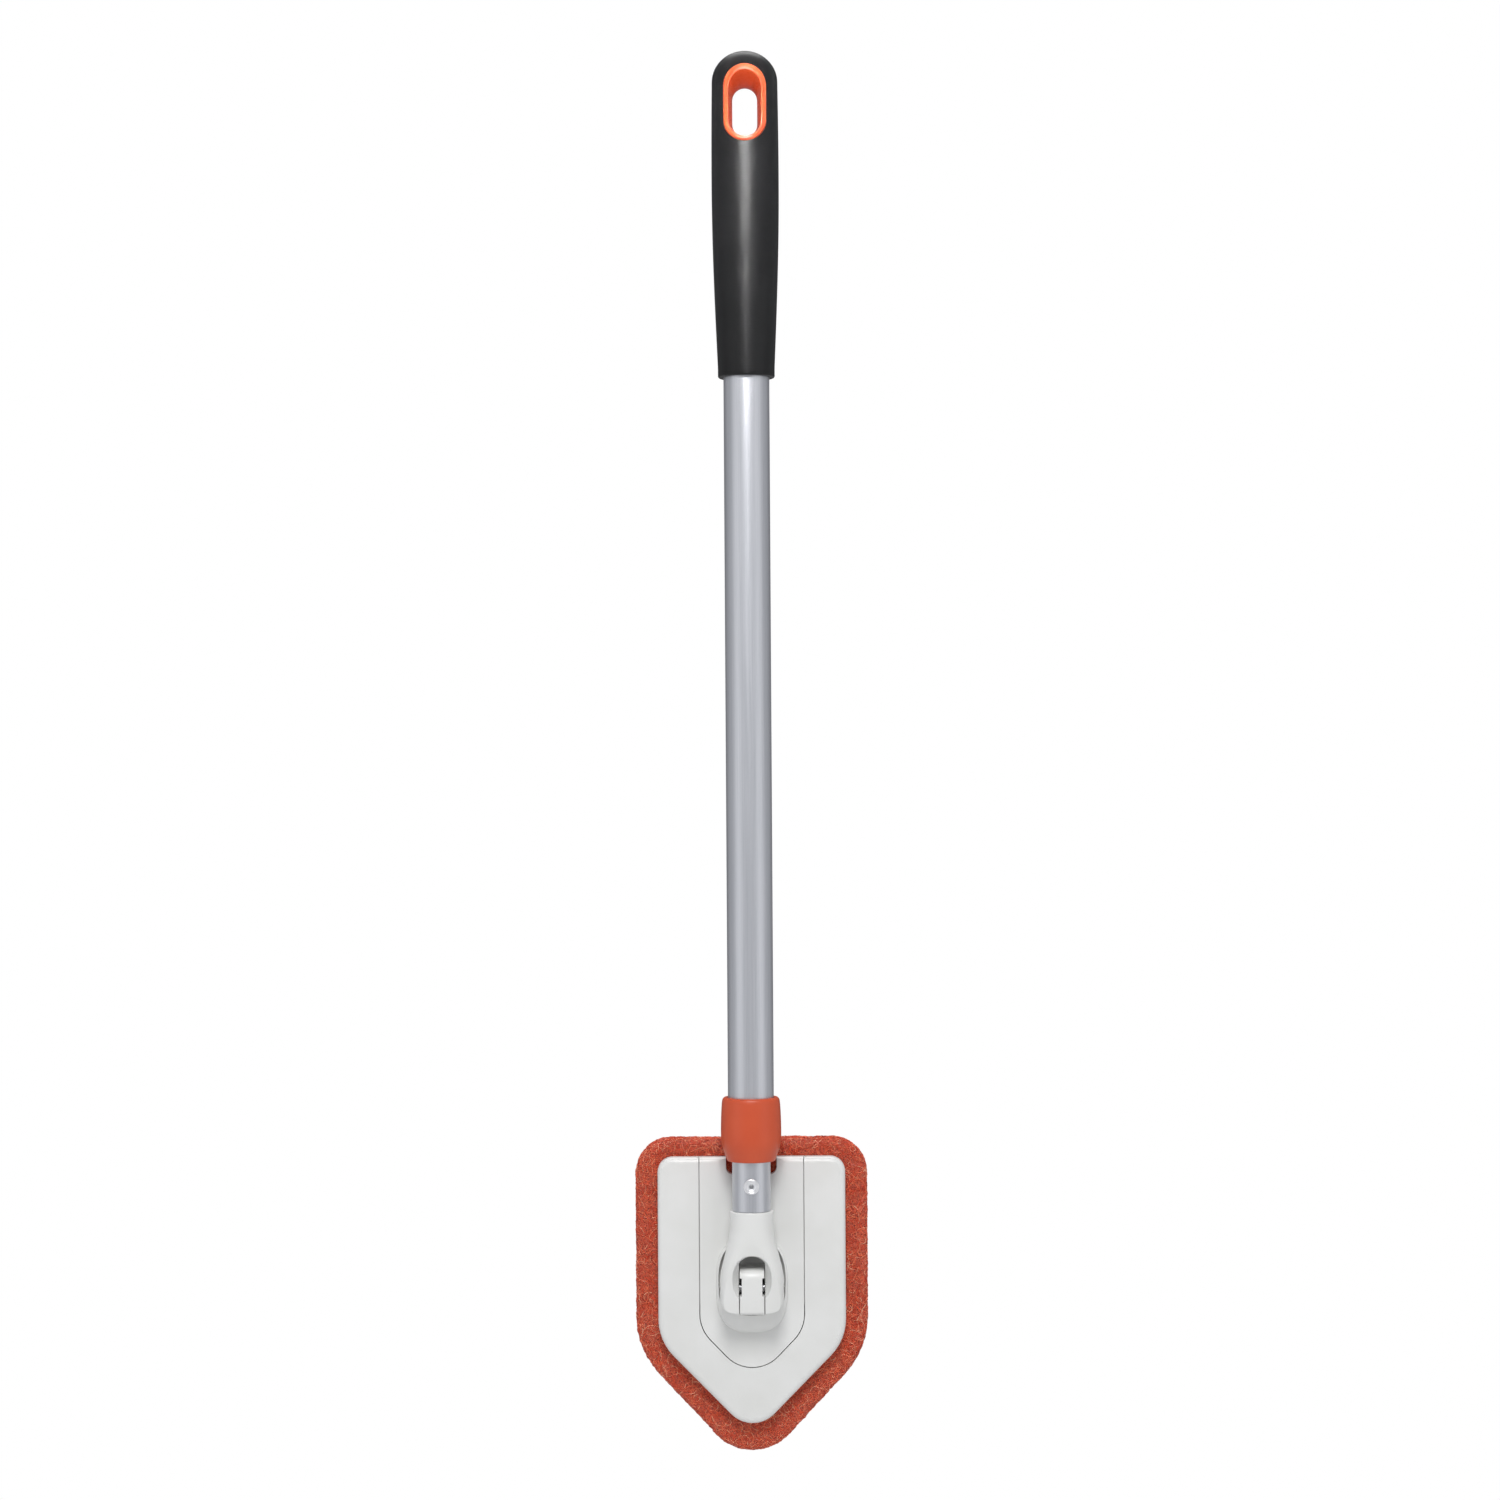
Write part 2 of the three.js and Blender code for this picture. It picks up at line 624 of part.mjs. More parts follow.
function innerTube() {
  const body = tube(innerBore, INNER_TUBE_RADIUS, neckTop + SEAT, innerTubeTop).subtract(rivetHole());
  return piece("inner_tube", body, satinAluminium);
}

// How far in from the tube's surface the rivet's bulb clears the spigot's curved wall.
const bulbRadius = RIVET_SHANK_RADIUS + RIVET_BULB;
const bulbDepth = INNER_TUBE_RADIUS - Math.sqrt(SPIGOT_BORE ** 2 - bulbRadius ** 2) + SEAT;

// Blind rivet: a dished flange outside, a shank, and a bulb inside the spigot.
function neckRivet() {
  const crown = 0.82 * RIVET_FLANGE_RADIUS;
  const dish = 0.64 * RIVET_FLANGE_RADIUS;
  const body = atRivet([
    [RIVET_HOLE_RADIUS, -0.3],
    [dish, -0.55],
    [crown, -0.95],
    [RIVET_FLANGE_RADIUS, -0.6],
    [RIVET_FLANGE_RADIUS, -SEAT],
    [RIVET_SHANK_RADIUS, -SEAT],
    [RIVET_SHANK_RADIUS, bulbDepth - 0.3],
    [bulbRadius, bulbDepth],
    [bulbRadius - 0.2, bulbDepth + 1],
    [RIVET_HOLE_RADIUS, bulbDepth + 1],
    [RIVET_HOLE_RADIUS, -0.3],
  ]);
  return piece("neck_rivet", body, satinAluminium);
}

function rivetMandrel() {
  const head = bulbDepth + 1.2;
  const headRadius = RIVET_SHANK_RADIUS - 0.25;
  const body = atRivet([
    [0, 0],
    [MANDREL_RADIUS, 0],
    [MANDREL_RADIUS, head],
    [headRadius, head],
    [headRadius - 0.2, head + 1],
    [0, head + 1],
  ]);
  return piece("rivet_mandrel", body, steel);
}

// ---------------------------------------------------------------- neck, in the pin's frame
const capSeat = FORK_HALF_WIDTH - CAP_THICKNESS - 2 * SEAT;

// Round where it meets the tube, and wider and squarer towards the fork.
function neckForm() {
  const flare = FORK_HALF_WIDTH - neckRadius;
  return loft(
    [
      { z: -NECK_BELOW_PIN, a: FORK_HALF_WIDTH - 3.6, b: neckRadius, power: 3 },
      { z: -NECK_BELOW_PIN + 1.2, a: FORK_HALF_WIDTH - 2.1, b: neckRadius, power: 3 },
      { z: -NECK_BELOW_PIN + 3.2, a: FORK_HALF_WIDTH - 0.9, b: neckRadius, power: 3 },
      { z: -NECK_BELOW_PIN + 6.5, a: FORK_HALF_WIDTH - 0.1, b: neckRadius, power: 3.2 },
      { z: 3, a: FORK_HALF_WIDTH, b: neckRadius, power: 3.2 },
      { z: 9, a: neckRadius + 0.84 * flare, b: neckRadius, power: 3 },
      { z: 15, a: neckRadius + 0.54 * flare, b: neckRadius, power: 2.6 },
      { z: 21, a: neckRadius + 0.25 * flare, b: neckRadius, power: 2.3 },
      { z: 28, a: neckRadius + 0.04 * flare, b: neckRadius },
      { z: NECK_ABOVE_PIN, a: neckRadius, b: neckRadius },
    ],
    TUBE_SIDES,
  );
}

// Side view of the neck: its front leans back to the fork's nose, and its heel is round the pin.
function neckSide() {
  const heel = Math.asin(Math.min(1, neckRadius / NECK_BELOW_PIN));
  const shape = new THREE.Shape();
  shape.moveTo(-neckRadius - BEYOND, NECK_ABOVE_PIN + BEYOND);
  shape.lineTo(-neckRadius - BEYOND, NECK_ABOVE_PIN * 0.67);
  shape.lineTo(-neckRadius, NECK_ABOVE_PIN * 0.6);
  shape.lineTo(-FORK_NOSE_DEPTH, 2 - NECK_BELOW_PIN);
  shape.quadraticCurveTo(1 - FORK_NOSE_DEPTH, 0.2 - NECK_BELOW_PIN, 0, -NECK_BELOW_PIN);
  shape.absarc(0, 0, NECK_BELOW_PIN, -Math.PI / 2, -Math.PI / 2 + heel, false);
  shape.lineTo(neckRadius + BEYOND, -NECK_BELOW_PIN * Math.cos(heel) + BEYOND);
  shape.lineTo(neckRadius + BEYOND, NECK_ABOVE_PIN + BEYOND);
  return sideSlab(shape, FORK_HALF_WIDTH + BEYOND);
}

function window() {
  const egg = new THREE.SphereGeometry(1, 28, 16);
  egg.scale(WINDOW_HALF_WIDTH, WINDOW_DEPTH, WINDOW_HALF_HEIGHT);
  return solid(egg.translate(0, -neckRadius, SLOT_ABOVE_PIN - WINDOW_HALF_HEIGHT));
}

function neckYoke() {
  const spigotTop = NECK_ABOVE_PIN + SPIGOT_LENGTH;
  const slotHeight = SLOT_ABOVE_PIN + NECK_BELOW_PIN + 2 * BEYOND;
  const slot = block(
    [2 * SLOT_HALF_WIDTH, 6 * neckRadius, slotHeight],
    [0, 0, SLOT_ABOVE_PIN - slotHeight / 2],
  );
  const body = neckForm()
    .intersect(neckSide())
    .add(rod(innerBore - SEAT, NECK_ABOVE_PIN - 2, spigotTop))
    .subtract(rod(SPIGOT_BORE, SLOT_ABOVE_PIN + NECK_WEB, spigotTop + BEYOND, SMALL_SIDES))
    .subtract(slot)
    .subtract(window())
    .subtract(crossRod(PIN_RADIUS + PIN_PLAY, -2 * FORK_HALF_WIDTH, 2 * FORK_HALF_WIDTH, PIN_SIDES))
    .subtract(crossRod(CAP_RADIUS + PIN_PLAY, capSeat, 2 * FORK_HALF_WIDTH, PIN_SIDES))
    .subtract(crossRod(CAP_RADIUS + PIN_PLAY, -2 * FORK_HALF_WIDTH, -capSeat, PIN_SIDES))
    .subtract(rivetHole().translate([0, 0, -pinHeight]));
  return piece("neck_yoke", body, white);
}

function hingePin() {
  const reach = capSeat - 2 * SEAT;
  return piece("hinge_pin", crossRod(PIN_RADIUS, -reach, reach, PIN_SIDES), steel);
}

function pinCap(name, side) {
  const inner = side * (capSeat + SEAT);
  const outer = inner + side * (CAP_THICKNESS - 2 * SEAT);
  const body = crossRod(CAP_RADIUS, Math.min(inner, outer), Math.max(inner, outer), PIN_SIDES);
  return piece(name, body, white);
}

// ---------------------------------------------------------------- head, in the pin's frame
const frameOutline = {
  halfWidth: FRAME_WIDTH / 2,
  top: HEAD_TOP,
  tip: FRAME_TIP,
  slope: 45.5,
  topRadius: 7.1,
  sideRadius: 25,
  tipRadius: 14.3,
};
const carrierOutline = {
  halfWidth: CARRIER_WIDTH / 2,
  top: HEAD_TOP,
  tip: CARRIER_TIP,
  slope: 46,
  topRadius: 0,
  sideRadius: 17,
  tipRadius: 16.6,
};
const padOutline = {
  halfWidth: PAD_WIDTH / 2,
  top: PAD_TOP,
  tip: PAD_TIP,
  slope: 47,
  topRadius: 16.6,
  sideRadius: 40,
  tipRadius: 24,
};

// The cut-out in the head's top edge, which the collar's nose sits in.
function topNotch() {
  const half = NOTCH_WIDTH / 2;
  const bottom = HEAD_TOP - NOTCH_DEPTH;
  const outline = roundedShape([
    [-half, HEAD_TOP + BEYOND, 0],
    [-half, bottom, NOTCH_RADIUS],
    [half, bottom, NOTCH_RADIUS],
    [half, HEAD_TOP + BEYOND, 0],
  ]);
  return slab(outline, 0, padFront);
}

// A shallow scoop in the carrier's face that deepens towards its top edge.
function faceScoop() {
  const trough = new THREE.CylinderGeometry(SCOOP_RADIUS, SCOOP_RADIUS, 2 * SCOOP_LENGTH, 96);
  trough.rotateX(Math.PI / 2).translate(0, -SCOOP_RADIUS, 0);
  trough.rotateX(-Math.atan(SCOOP_DEPTH / SCOOP_LENGTH));
  return solid(trough.translate(0, faceDepth + SCOOP_DEPTH, HEAD_TOP));
}

// Egg-shaped boss round the fork, hollowed by the pocket that the fork swings in.
function hingeBoss() {
  const egg = new THREE.SphereGeometry(1, 32, 16).scale(BOSS_HALF_WIDTH, BOSS_RISE, BOSS_HALF_HEIGHT);
  const ahead = block([FAR, FAR, FAR], [0, faceDepth + BEYOND - FAR / 2, 0]);
  return solid(egg.translate(0, faceDepth, -0.5)).intersect(ahead);
}

function forkPocket() {
  const reach = FORK_HALF_WIDTH + FORK_CLEARANCE;
  const channel = block([2 * reach, 2 * faceDepth, HEAD_TOP], [0, SKIN, HEAD_TOP / 2]);
  return crossRod(pocketRadius, -reach, reach, 48).add(channel);
}

// Side view of the lug: a round crown in the fork's window and a foot that joins the boss.
function lugShape() {
  const foot = 0.5 - NECK_BELOW_PIN;
  const back = faceDepth + 2 * BEYOND;
  return roundedShape([
    [-FORK_NOSE_DEPTH, LUG_CROWN, LUG_CROWN_RADIUS],
    [0.8 - FORK_NOSE_DEPTH, foot, 1.8],
    [3, foot - 0.6, 0],
    [back, -BOSS_HALF_HEIGHT * 0.7, 0],
    [back, LUG_CROWN, 0],
  ]);
}

// The lug between the fork's arms, waisted where the pin shows at its sides.
function hingeLug() {
  const depth = 2 * FORK_NOSE_DEPTH + 4 * BEYOND;
  const notch = (side) => block([2 * LUG_WAIST, depth, LUG_NOTCH_HEIGHT], [side * 2 * LUG_WAIST, -1, -0.4]);
  return sideSlab(lugShape(), LUG_HALF_WIDTH)
    .subtract(notch(1))
    .subtract(notch(-1))
    .subtract(crossRod(PIN_RADIUS + PIN_PLAY, -FORK_HALF_WIDTH, FORK_HALF_WIDTH, PIN_SIDES));
}

const tongueMiddle = (faceDepth + carrierBack) / 2 + 0.2 * TONGUE_THICKNESS;

function carrier() {
  const reach = CARRIER_WIDTH / 2 + TONGUE_REACH;
  const tongues = block(
    [2 * reach, TONGUE_THICKNESS, TONGUE_TOP - TONGUE_FOOT],
    [0, tongueMiddle, (TONGUE_TOP + TONGUE_FOOT) / 2],
  );
  const body = slab(shield(carrierOutline), faceDepth, carrierBack)
    .add(tongues)
    .add(hingeBoss())
    .subtract(forkPocket())
    .subtract(faceScoop())
    .subtract(topNotch())
    .add(hingeLug());
  return piece("carrier", body, white);
}

// Hollow ribbed underside of the frame, either side of the carrier's pocket.
function frameHollows(wallInside) {
  const inside = slab(shield(grown(frameOutline, -FRAME_WALL)), faceDepth + FRAME_WALL, frameBack + BEYOND);
  const keep = slab(shield({ ...wallInside, top: HEAD_TOP + BEYOND }), 0, padFront);
  const spine = block([RIB_THICKNESS, FAR, FAR], [0, 0, CARRIER_TIP - FAR / 2]);
  let hollow = inside.subtract(keep).subtract(spine);
  for (let z = -2 * RIB_SPACING; z < HEAD_TOP; z += RIB_SPACING) {
    hollow = hollow.subtract(block([2 * FRAME_WIDTH, FAR, RIB_THICKNESS], [0, 0, z]));
  }
  return hollow;
}

function backingFrame() {
  const pocket = { ...grown(carrierOutline, PARTING_GAP), top: HEAD_TOP + BEYOND };
  const groove = TONGUE_REACH + 2 * SLIDE_FIT;
  const grooveTop = HEAD_TOP + BEYOND;
  const grooveFoot = TONGUE_FOOT - TONGUE_ROOM;
  const grooves = block(
    [CARRIER_WIDTH + 2 * groove, TONGUE_THICKNESS + 4 * SLIDE_FIT, grooveTop - grooveFoot],
    [0, tongueMiddle, (grooveTop + grooveFoot) / 2],
  );
  const body = slab(shield(frameOutline), faceDepth, frameBack)
    .subtract(slab(shield(pocket), faceDepth - BEYOND, floorFront))
    .subtract(grooves)
    .subtract(frameHollows(grown(carrierOutline, groove + RIB_THICKNESS)))
    .subtract(topNotch());
  return piece("backing_frame", body, white);
}

function adhesiveLayer() {
  const back = adhesiveFront + ADHESIVE_THICKNESS;
  const body = slab(shield(grown(frameOutline, -ADHESIVE_INSET)), adhesiveFront, back).subtract(topNotch());
  return piece("adhesive_layer", body, glue);
}

function scouringPad() {
  return piece("scouring_pad", softSlab(shield(padOutline), padFront, padBack, PAD_EDGE, 2), scouringFibre);
}

// ---------------------------------------------------------------- assembly
function hinged() {
  const group = new THREE.Group();
  group.position.z = pinHeight;
  group.add(
    neckYoke(),
    hingePin(),
    pinCap("pin_cap_left", -1),
    pinCap("pin_cap_right", 1),
    carrier(),
    backingFrame(),
    adhesiveLayer(),
    scouringPad(),
  );
  return group;
}

const scraper = new THREE.Group();
scraper.add(
  gripSleeve(),
  gripCore(),
  gripPin(),
  ...hangRings(),
  outerTube(),
  lockFerrule(),
  lockCollet(),
  lockCollar(),
  guideRing(),
  guidePlug(),
  innerTube(),
  neckRivet(),
  rivetMandrel(),
  hinged(),
);

export default scraper;
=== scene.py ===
"""Looks of an extendable pole scraper: soft grip, telescopic pole, twist lock, hinged head and pad.

Solids are worked on the bench in millimetres and brought to metres when they are done. Sizes that the
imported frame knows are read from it; the others are fields of the sub-assembly that they belong to.
"""

import json
import logging
import math
import random
from bisect import bisect
from dataclasses import dataclass, replace
from enum import Enum
from itertools import accumulate
from typing import Any, Iterable, Sequence

import bmesh
import bpy
from mathutils import Matrix, Vector, noise
from mathutils.bvhtree import BVHTree


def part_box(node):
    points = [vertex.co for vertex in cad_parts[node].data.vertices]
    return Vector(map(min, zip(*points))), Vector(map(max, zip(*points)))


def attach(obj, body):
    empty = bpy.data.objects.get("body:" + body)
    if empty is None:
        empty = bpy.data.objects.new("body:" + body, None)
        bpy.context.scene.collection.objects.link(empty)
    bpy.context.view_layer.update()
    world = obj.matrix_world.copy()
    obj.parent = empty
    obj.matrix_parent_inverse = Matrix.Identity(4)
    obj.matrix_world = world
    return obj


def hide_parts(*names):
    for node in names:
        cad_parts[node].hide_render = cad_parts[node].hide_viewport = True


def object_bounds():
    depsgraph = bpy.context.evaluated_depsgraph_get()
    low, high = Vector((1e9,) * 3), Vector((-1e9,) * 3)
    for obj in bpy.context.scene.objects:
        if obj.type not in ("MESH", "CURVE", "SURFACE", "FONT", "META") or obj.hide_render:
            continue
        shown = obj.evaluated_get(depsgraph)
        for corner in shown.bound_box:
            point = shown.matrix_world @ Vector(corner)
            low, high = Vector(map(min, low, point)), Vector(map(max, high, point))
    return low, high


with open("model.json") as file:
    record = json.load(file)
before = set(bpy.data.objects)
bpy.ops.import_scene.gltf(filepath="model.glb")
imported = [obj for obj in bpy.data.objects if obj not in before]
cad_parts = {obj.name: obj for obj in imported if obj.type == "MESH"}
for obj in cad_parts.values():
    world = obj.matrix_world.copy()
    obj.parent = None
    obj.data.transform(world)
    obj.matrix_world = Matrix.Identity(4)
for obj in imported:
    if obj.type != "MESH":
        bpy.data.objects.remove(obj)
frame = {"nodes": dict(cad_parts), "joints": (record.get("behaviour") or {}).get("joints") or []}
CAD_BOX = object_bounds()

MM = 0.001  # metres in a millimetre
WELD = 1e-4  # points closer than this are one point, in mm
PAST = 2.0  # how far a cutter runs past what it cuts, in mm
FAR = 100.0  # side of a block that takes in all of one end of the tool, in mm
ROUND_STEPS = 96  # facets round a turned piece
FINE_STEPS = 128  # facets round the tubes and the collar, whose highlights would show fewer

Point2 = tuple[float, float]
Point3 = tuple[float, float, float]

log = logging.getLogger("scraper")


class Cut(Enum):
    """How one solid works on another."""

    REMOVE = "DIFFERENCE"
    JOIN = "UNION"
    KEEP = "INTERSECT"


# ------------------------------------------------------------------ places from the frame
@dataclass(frozen=True)
class Extent:
    """The box that a CAD node fills, in millimetres."""

    left: float
    right: float
    front: float
    back: float
    bottom: float
    top: float

    @classmethod
    def of(cls, node: str) -> "Extent":
        """Measures a CAD node.

        Args:
            node: The node's name.

        Returns:
            Its box at rest.
        """
        low, high = (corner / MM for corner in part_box(node))
        return cls(low.x, high.x, low.y, high.y, low.z, high.z)


def joint_height(name: str) -> float:
    """Finds how high a joint's axis lies.

    Args:
        name: The joint's name.

    Returns:
        Its height in millimetres.
    """
    joint = next(j for j in frame["joints"] if j["name"] == name)
    return joint["pos_m"][2] / MM


# ------------------------------------------------------------------ outlines
def rounded(corners: Sequence[Point3], steps: int = 12) -> list[Point2]:
    """Rounds the corners of a polygon.

    Args:
        corners: Each corner's place and radius, in turn.
        steps: Facets in a quarter turn.

    Returns:
        The points of the rounded outline.
    """
    points: list[Point2] = []
    for i, (x, z, radius) in enumerate(corners):
        here = Vector((x, z))
        back = (Vector(corners[i - 1][:2]) - here).normalized()
        ahead = (Vector(corners[(i + 1) % len(corners)][:2]) - here).normalized()
        if radius <= 0:
            points.append((x, z))
            continue
        half = math.acos(max(-1.0, min(1.0, back.dot(ahead)))) / 2
        centre = here + (back + ahead).normalized() * radius / math.sin(half)
        start = here + back * radius / math.tan(half) - centre
        end = here + ahead * radius / math.tan(half) - centre
        turn = math.atan2(start.x * end.y - start.y * end.x, start.dot(end))
        count = max(2, math.ceil(abs(turn) / (math.pi / 2) * steps))
        for k in range(count + 1):
            spot = centre + Matrix.Rotation(turn * k / count, 2) @ start
            points.append((spot.x, spot.y))
    return points


def slot_outline(half_width: float, top: float, bottom: float) -> list[Point2]:
    """Draws an upright slot with round ends.

    Args:
        half_width: Half of its width, and the radius of its ends.
        top: Its highest point.
        bottom: Its lowest point.

    Returns:
        The points of the outline.
    """
    points, steps = [], ROUND_STEPS // 4
    for centre, start in ((top - half_width, 0.0), (bottom + half_width, math.pi)):
        for k in range(steps + 1):
            angle = start + math.pi * k / steps
            points.append((half_width * math.cos(angle), centre + half_width * math.sin(angle)))
    return points


def flowing(stops: Sequence[Sequence[float]], per_span: int) -> list[list[float]]:
    """Runs a smooth curve through a row of stops.

    Args:
        stops: The values at each stop, in turn.
        per_span: Steps between one stop and the next.

    Returns:
        The values along the curve, the stops included.
    """
    ends = [stops[0], *stops, stops[-1]]
    values = []
    for before, start, end, after in zip(ends, ends[1:], ends[2:], ends[3:]):
        for k in range(per_span):
            t = k / per_span
            values.append([
                0.5 * (2 * b + (c - a) * t + (2 * a - 5 * b + 4 * c - d) * t * t
                       + (3 * b - a - 3 * c + d) * t ** 3)
                for a, b, c, d in zip(before, start, end, after)
            ])
    return [*values, list(stops[-1])]


def full_outline(half_width: float, half_height: float, squareness: float, middle: float) -> list[Point2]:
    """Draws an ellipse, or a fuller oval.

    Args:
        half_width: Its reach along X.
        half_height: Its reach along Z.
        squareness: 2 gives an ellipse, and more a fuller outline.
        middle: Height of its centre.

    Returns:
        The points of the outline.
    """
    points = []
    for k in range(ROUND_STEPS):
        x, z = math.cos(2 * math.pi * k / ROUND_STEPS), math.sin(2 * math.pi * k / ROUND_STEPS)
        reach = (abs(x) ** squareness + abs(z) ** squareness) ** (-1 / squareness)
        points.append((x * reach * half_width, middle + z * reach * half_height))
    return points


@dataclass(frozen=True)
class Shield:
    """A five-sided outline: square top corners, straight sides and a rounded V at the tip."""

    half_width: float
    top: float
    tip: float
    slope: float
    top_radius: float
    side_radius: float
    tip_radius: float

    @property
    def sharp_tip(self) -> float:
        """Where the V would end if its tip weren't rounded."""
        return self.tip - self.tip_radius * (1 / math.cos(math.radians(self.slope)) - 1)

    def height_of_v(self, across: float) -> float:
        """How high the V's edge lies at a distance from the middle."""
        return self.sharp_tip + abs(across) * math.tan(math.radians(self.slope))

    def grown(self, distance: float) -> "Shield":
        """Moves the outline out.

        Args:
            distance: How far; a negative distance moves it in.

        Returns:
            The new outline.
        """
        return replace(
            self,
            half_width=self.half_width + distance,
            top=self.top + distance,
            tip=self.tip - distance,
            top_radius=max(0.0, self.top_radius + distance),
            side_radius=self.side_radius + distance,
            tip_radius=self.tip_radius + distance,
        )

    def points(self) -> list[Point2]:
        """Draws the outline.

        Returns:
            Its points, in turn.
        """
        half, shoulder = self.half_width, self.height_of_v(self.half_width)
        return rounded([
            (-half, self.top, self.top_radius), (-half, shoulder, self.side_radius),
            (0.0, self.sharp_tip, self.tip_radius),
            (half, shoulder, self.side_radius), (half, self.top, self.top_radius),
        ])

    def holds(self, x: float, z: float) -> bool:
        """Whether a point lies inside the outline, its rounded corners apart."""
        return abs(x) < self.half_width and self.height_of_v(x) < z < self.top


PLATE = Shield(
    half_width=44.4, top=59.8, tip=-66.1, slope=45.5, top_radius=7.1, side_radius=25.0, tip_radius=14.3,
)
PANEL = Shield(
    half_width=24.5, top=59.8, tip=-39.2, slope=46.0, top_radius=0.0, side_radius=17.0, tip_radius=16.6,
)
PAD = Shield(
    half_width=55.2, top=67.6, tip=-80.7, slope=47.0, top_radius=16.6, side_radius=40.0, tip_radius=24.0,
)


# ------------------------------------------------------------------ solids
def add_object(name: str, data: bpy.types.ID) -> bpy.types.Object:
    """Adds an object to the scene.

    Args:
        name: The object's name.
        data: Its mesh, curve, camera or light.

    Returns:
        The object.
    """
    added = bpy.data.objects.new(name, data)
    bpy.context.scene.collection.objects.link(added)
    return added


class Blank:
    """A solid on the bench, in millimetres, that is cut, joined and softened."""

    def __init__(self, name: str, bm: bmesh.types.BMesh) -> None:
        """Takes a bmesh as a new solid.

        Args:
            name: The solid's name.
            bm: Its shape, which is used up.
        """
        mesh = bpy.data.meshes.new(name)
        bm.to_mesh(mesh)
        bm.free()
        self.object = add_object(name, mesh)

    def modified(self, kind: str, **settings: Any) -> "Blank":
        """Runs one modifier and keeps its result.

        Args:
            kind: The modifier's type.
            **settings: Its settings.

        Returns:
            The same solid.
        """
        modifier = self.object.modifiers.new(kind.lower(), kind)
        for name, value in settings.items():
            setattr(modifier, name, value)
        graph = bpy.context.evaluated_depsgraph_get()
        mesh = bpy.data.meshes.new_from_object(self.object.evaluated_get(graph))
        self.object.modifiers.clear()
        rough, self.object.data = self.object.data, mesh
        bpy.data.meshes.remove(rough)
        return self

    def combine(self, how: Cut, *others: "Blank") -> "Blank":
        """Works on this solid with others, which are used up.

        Args:
            how: What the others do to it.
            *others: The solids to work with, in turn.

        Returns:
            The same solid.
        """
        for other in others:
            self.modified("BOOLEAN", operation=how.value, solver="EXACT", object=other.object)
            bpy.data.objects.remove(other.object)
        return self

    def softened(self, grain: float, passes: int) -> "Blank":
        """Evens the mesh out and rounds its edges, as a moulding's are.

        Args:
            grain: Size of the new faces, in millimetres.
            passes: Rounds of smoothing.

        Returns:
            The same solid.
        """
        self.modified("REMESH", mode="VOXEL", voxel_size=grain, use_smooth_shade=True)
        return self.modified("SMOOTH", factor=0.5, iterations=passes)

    def eased(self, radius: float, above: float = 35.0) -> "Blank":
        """Breaks the sharp edges with a small round.

        Args:
            radius: Radius of the round, in millimetres.
            above: Edges sharper than this many degrees are broken.

        Returns:
            The same solid.
        """
        return self.modified(
            "BEVEL", width=radius, segments=2, limit_method="ANGLE", angle_limit=math.radians(above),
            use_clamp_overlap=True, profile=0.5, miter_outer="MITER_ARC",
        )

    def moved(self, matrix: Matrix) -> "Blank":
        """Moves the solid's points by a matrix."""
        self.object.data.transform(matrix)
        return self

    def flipped(self) -> "Blank":
        """Turns the faces of a mirrored solid out again."""
        self.object.data.flip_normals()
        return self

    def finished(self, sharp_above: float = 30.0) -> bpy.types.Object:
        """Brings the solid to metres and sets its shading.

        Args:
            sharp_above: Edges sharper than this many degrees stay crisp.

        Returns:
            The object.
        """
        mesh = self.object.data
        mesh.name = self.object.name
        mesh.transform(Matrix.Scale(MM, 4))
        mesh.shade_smooth()
        mesh.set_sharp_from_angle(angle=math.radians(sharp_above))
        return self.object


def turned(name: str, profile: Sequence[Point2], steps: int = ROUND_STEPS) -> Blank:
    """Turns a profile about Z.

    Args:
        name: The solid's name.
        profile: Radius and height of its points; the last joins the first.
        steps: Facets round the axis.

    Returns:
        The solid.
    """
    bm = bmesh.new()
    verts = [bm.verts.new((radius, 0, height)) for radius, height in profile]
    on_axis = [v.co.x < WELD for v in verts]
    edges = [
        bm.edges.new((verts[i - 1], v))
        for i, v in enumerate(verts)
        if not (on_axis[i] and on_axis[i - 1])
    ]
    bmesh.ops.spin(
        bm, geom=verts + edges, cent=(0, 0, 0), axis=(0, 0, 1), angle=2 * math.pi, steps=steps, use_merge=True
    )
    bmesh.ops.remove_doubles(bm, verts=bm.verts, dist=WELD)
    bmesh.ops.recalc_face_normals(bm, faces=bm.faces)
    return Blank(name, bm)


def rod(name: str, radius: float, bottom: float, top: float, steps: int = ROUND_STEPS) -> Blank:
    """A plain upright rod."""
    return turned(name, [(0, bottom), (radius, bottom), (radius, top), (0, top)], steps)


def cross_rod(name: str, radius: float, left: float, right: float, height: float) -> Blank:
    """A plain rod along X at a height."""
    matrix = Matrix.Translation((0, 0, height)) @ Matrix.Rotation(math.pi / 2, 4, "Y")
    return rod(name, radius, left, right).moved(matrix)


def block(name: str, size: Point3, centre: Point3) -> Blank:
    """A box.

    Args:
        name: The solid's name.
        size: Its sides along X, Y and Z.
        centre: Its middle.

    Returns:
        The solid.
    """
    bm = bmesh.new()
    bmesh.ops.create_cube(bm, size=1)
    bmesh.ops.scale(bm, vec=size, verts=bm.verts)
    bmesh.ops.translate(bm, vec=centre, verts=bm.verts)
    return Blank(name, bm)


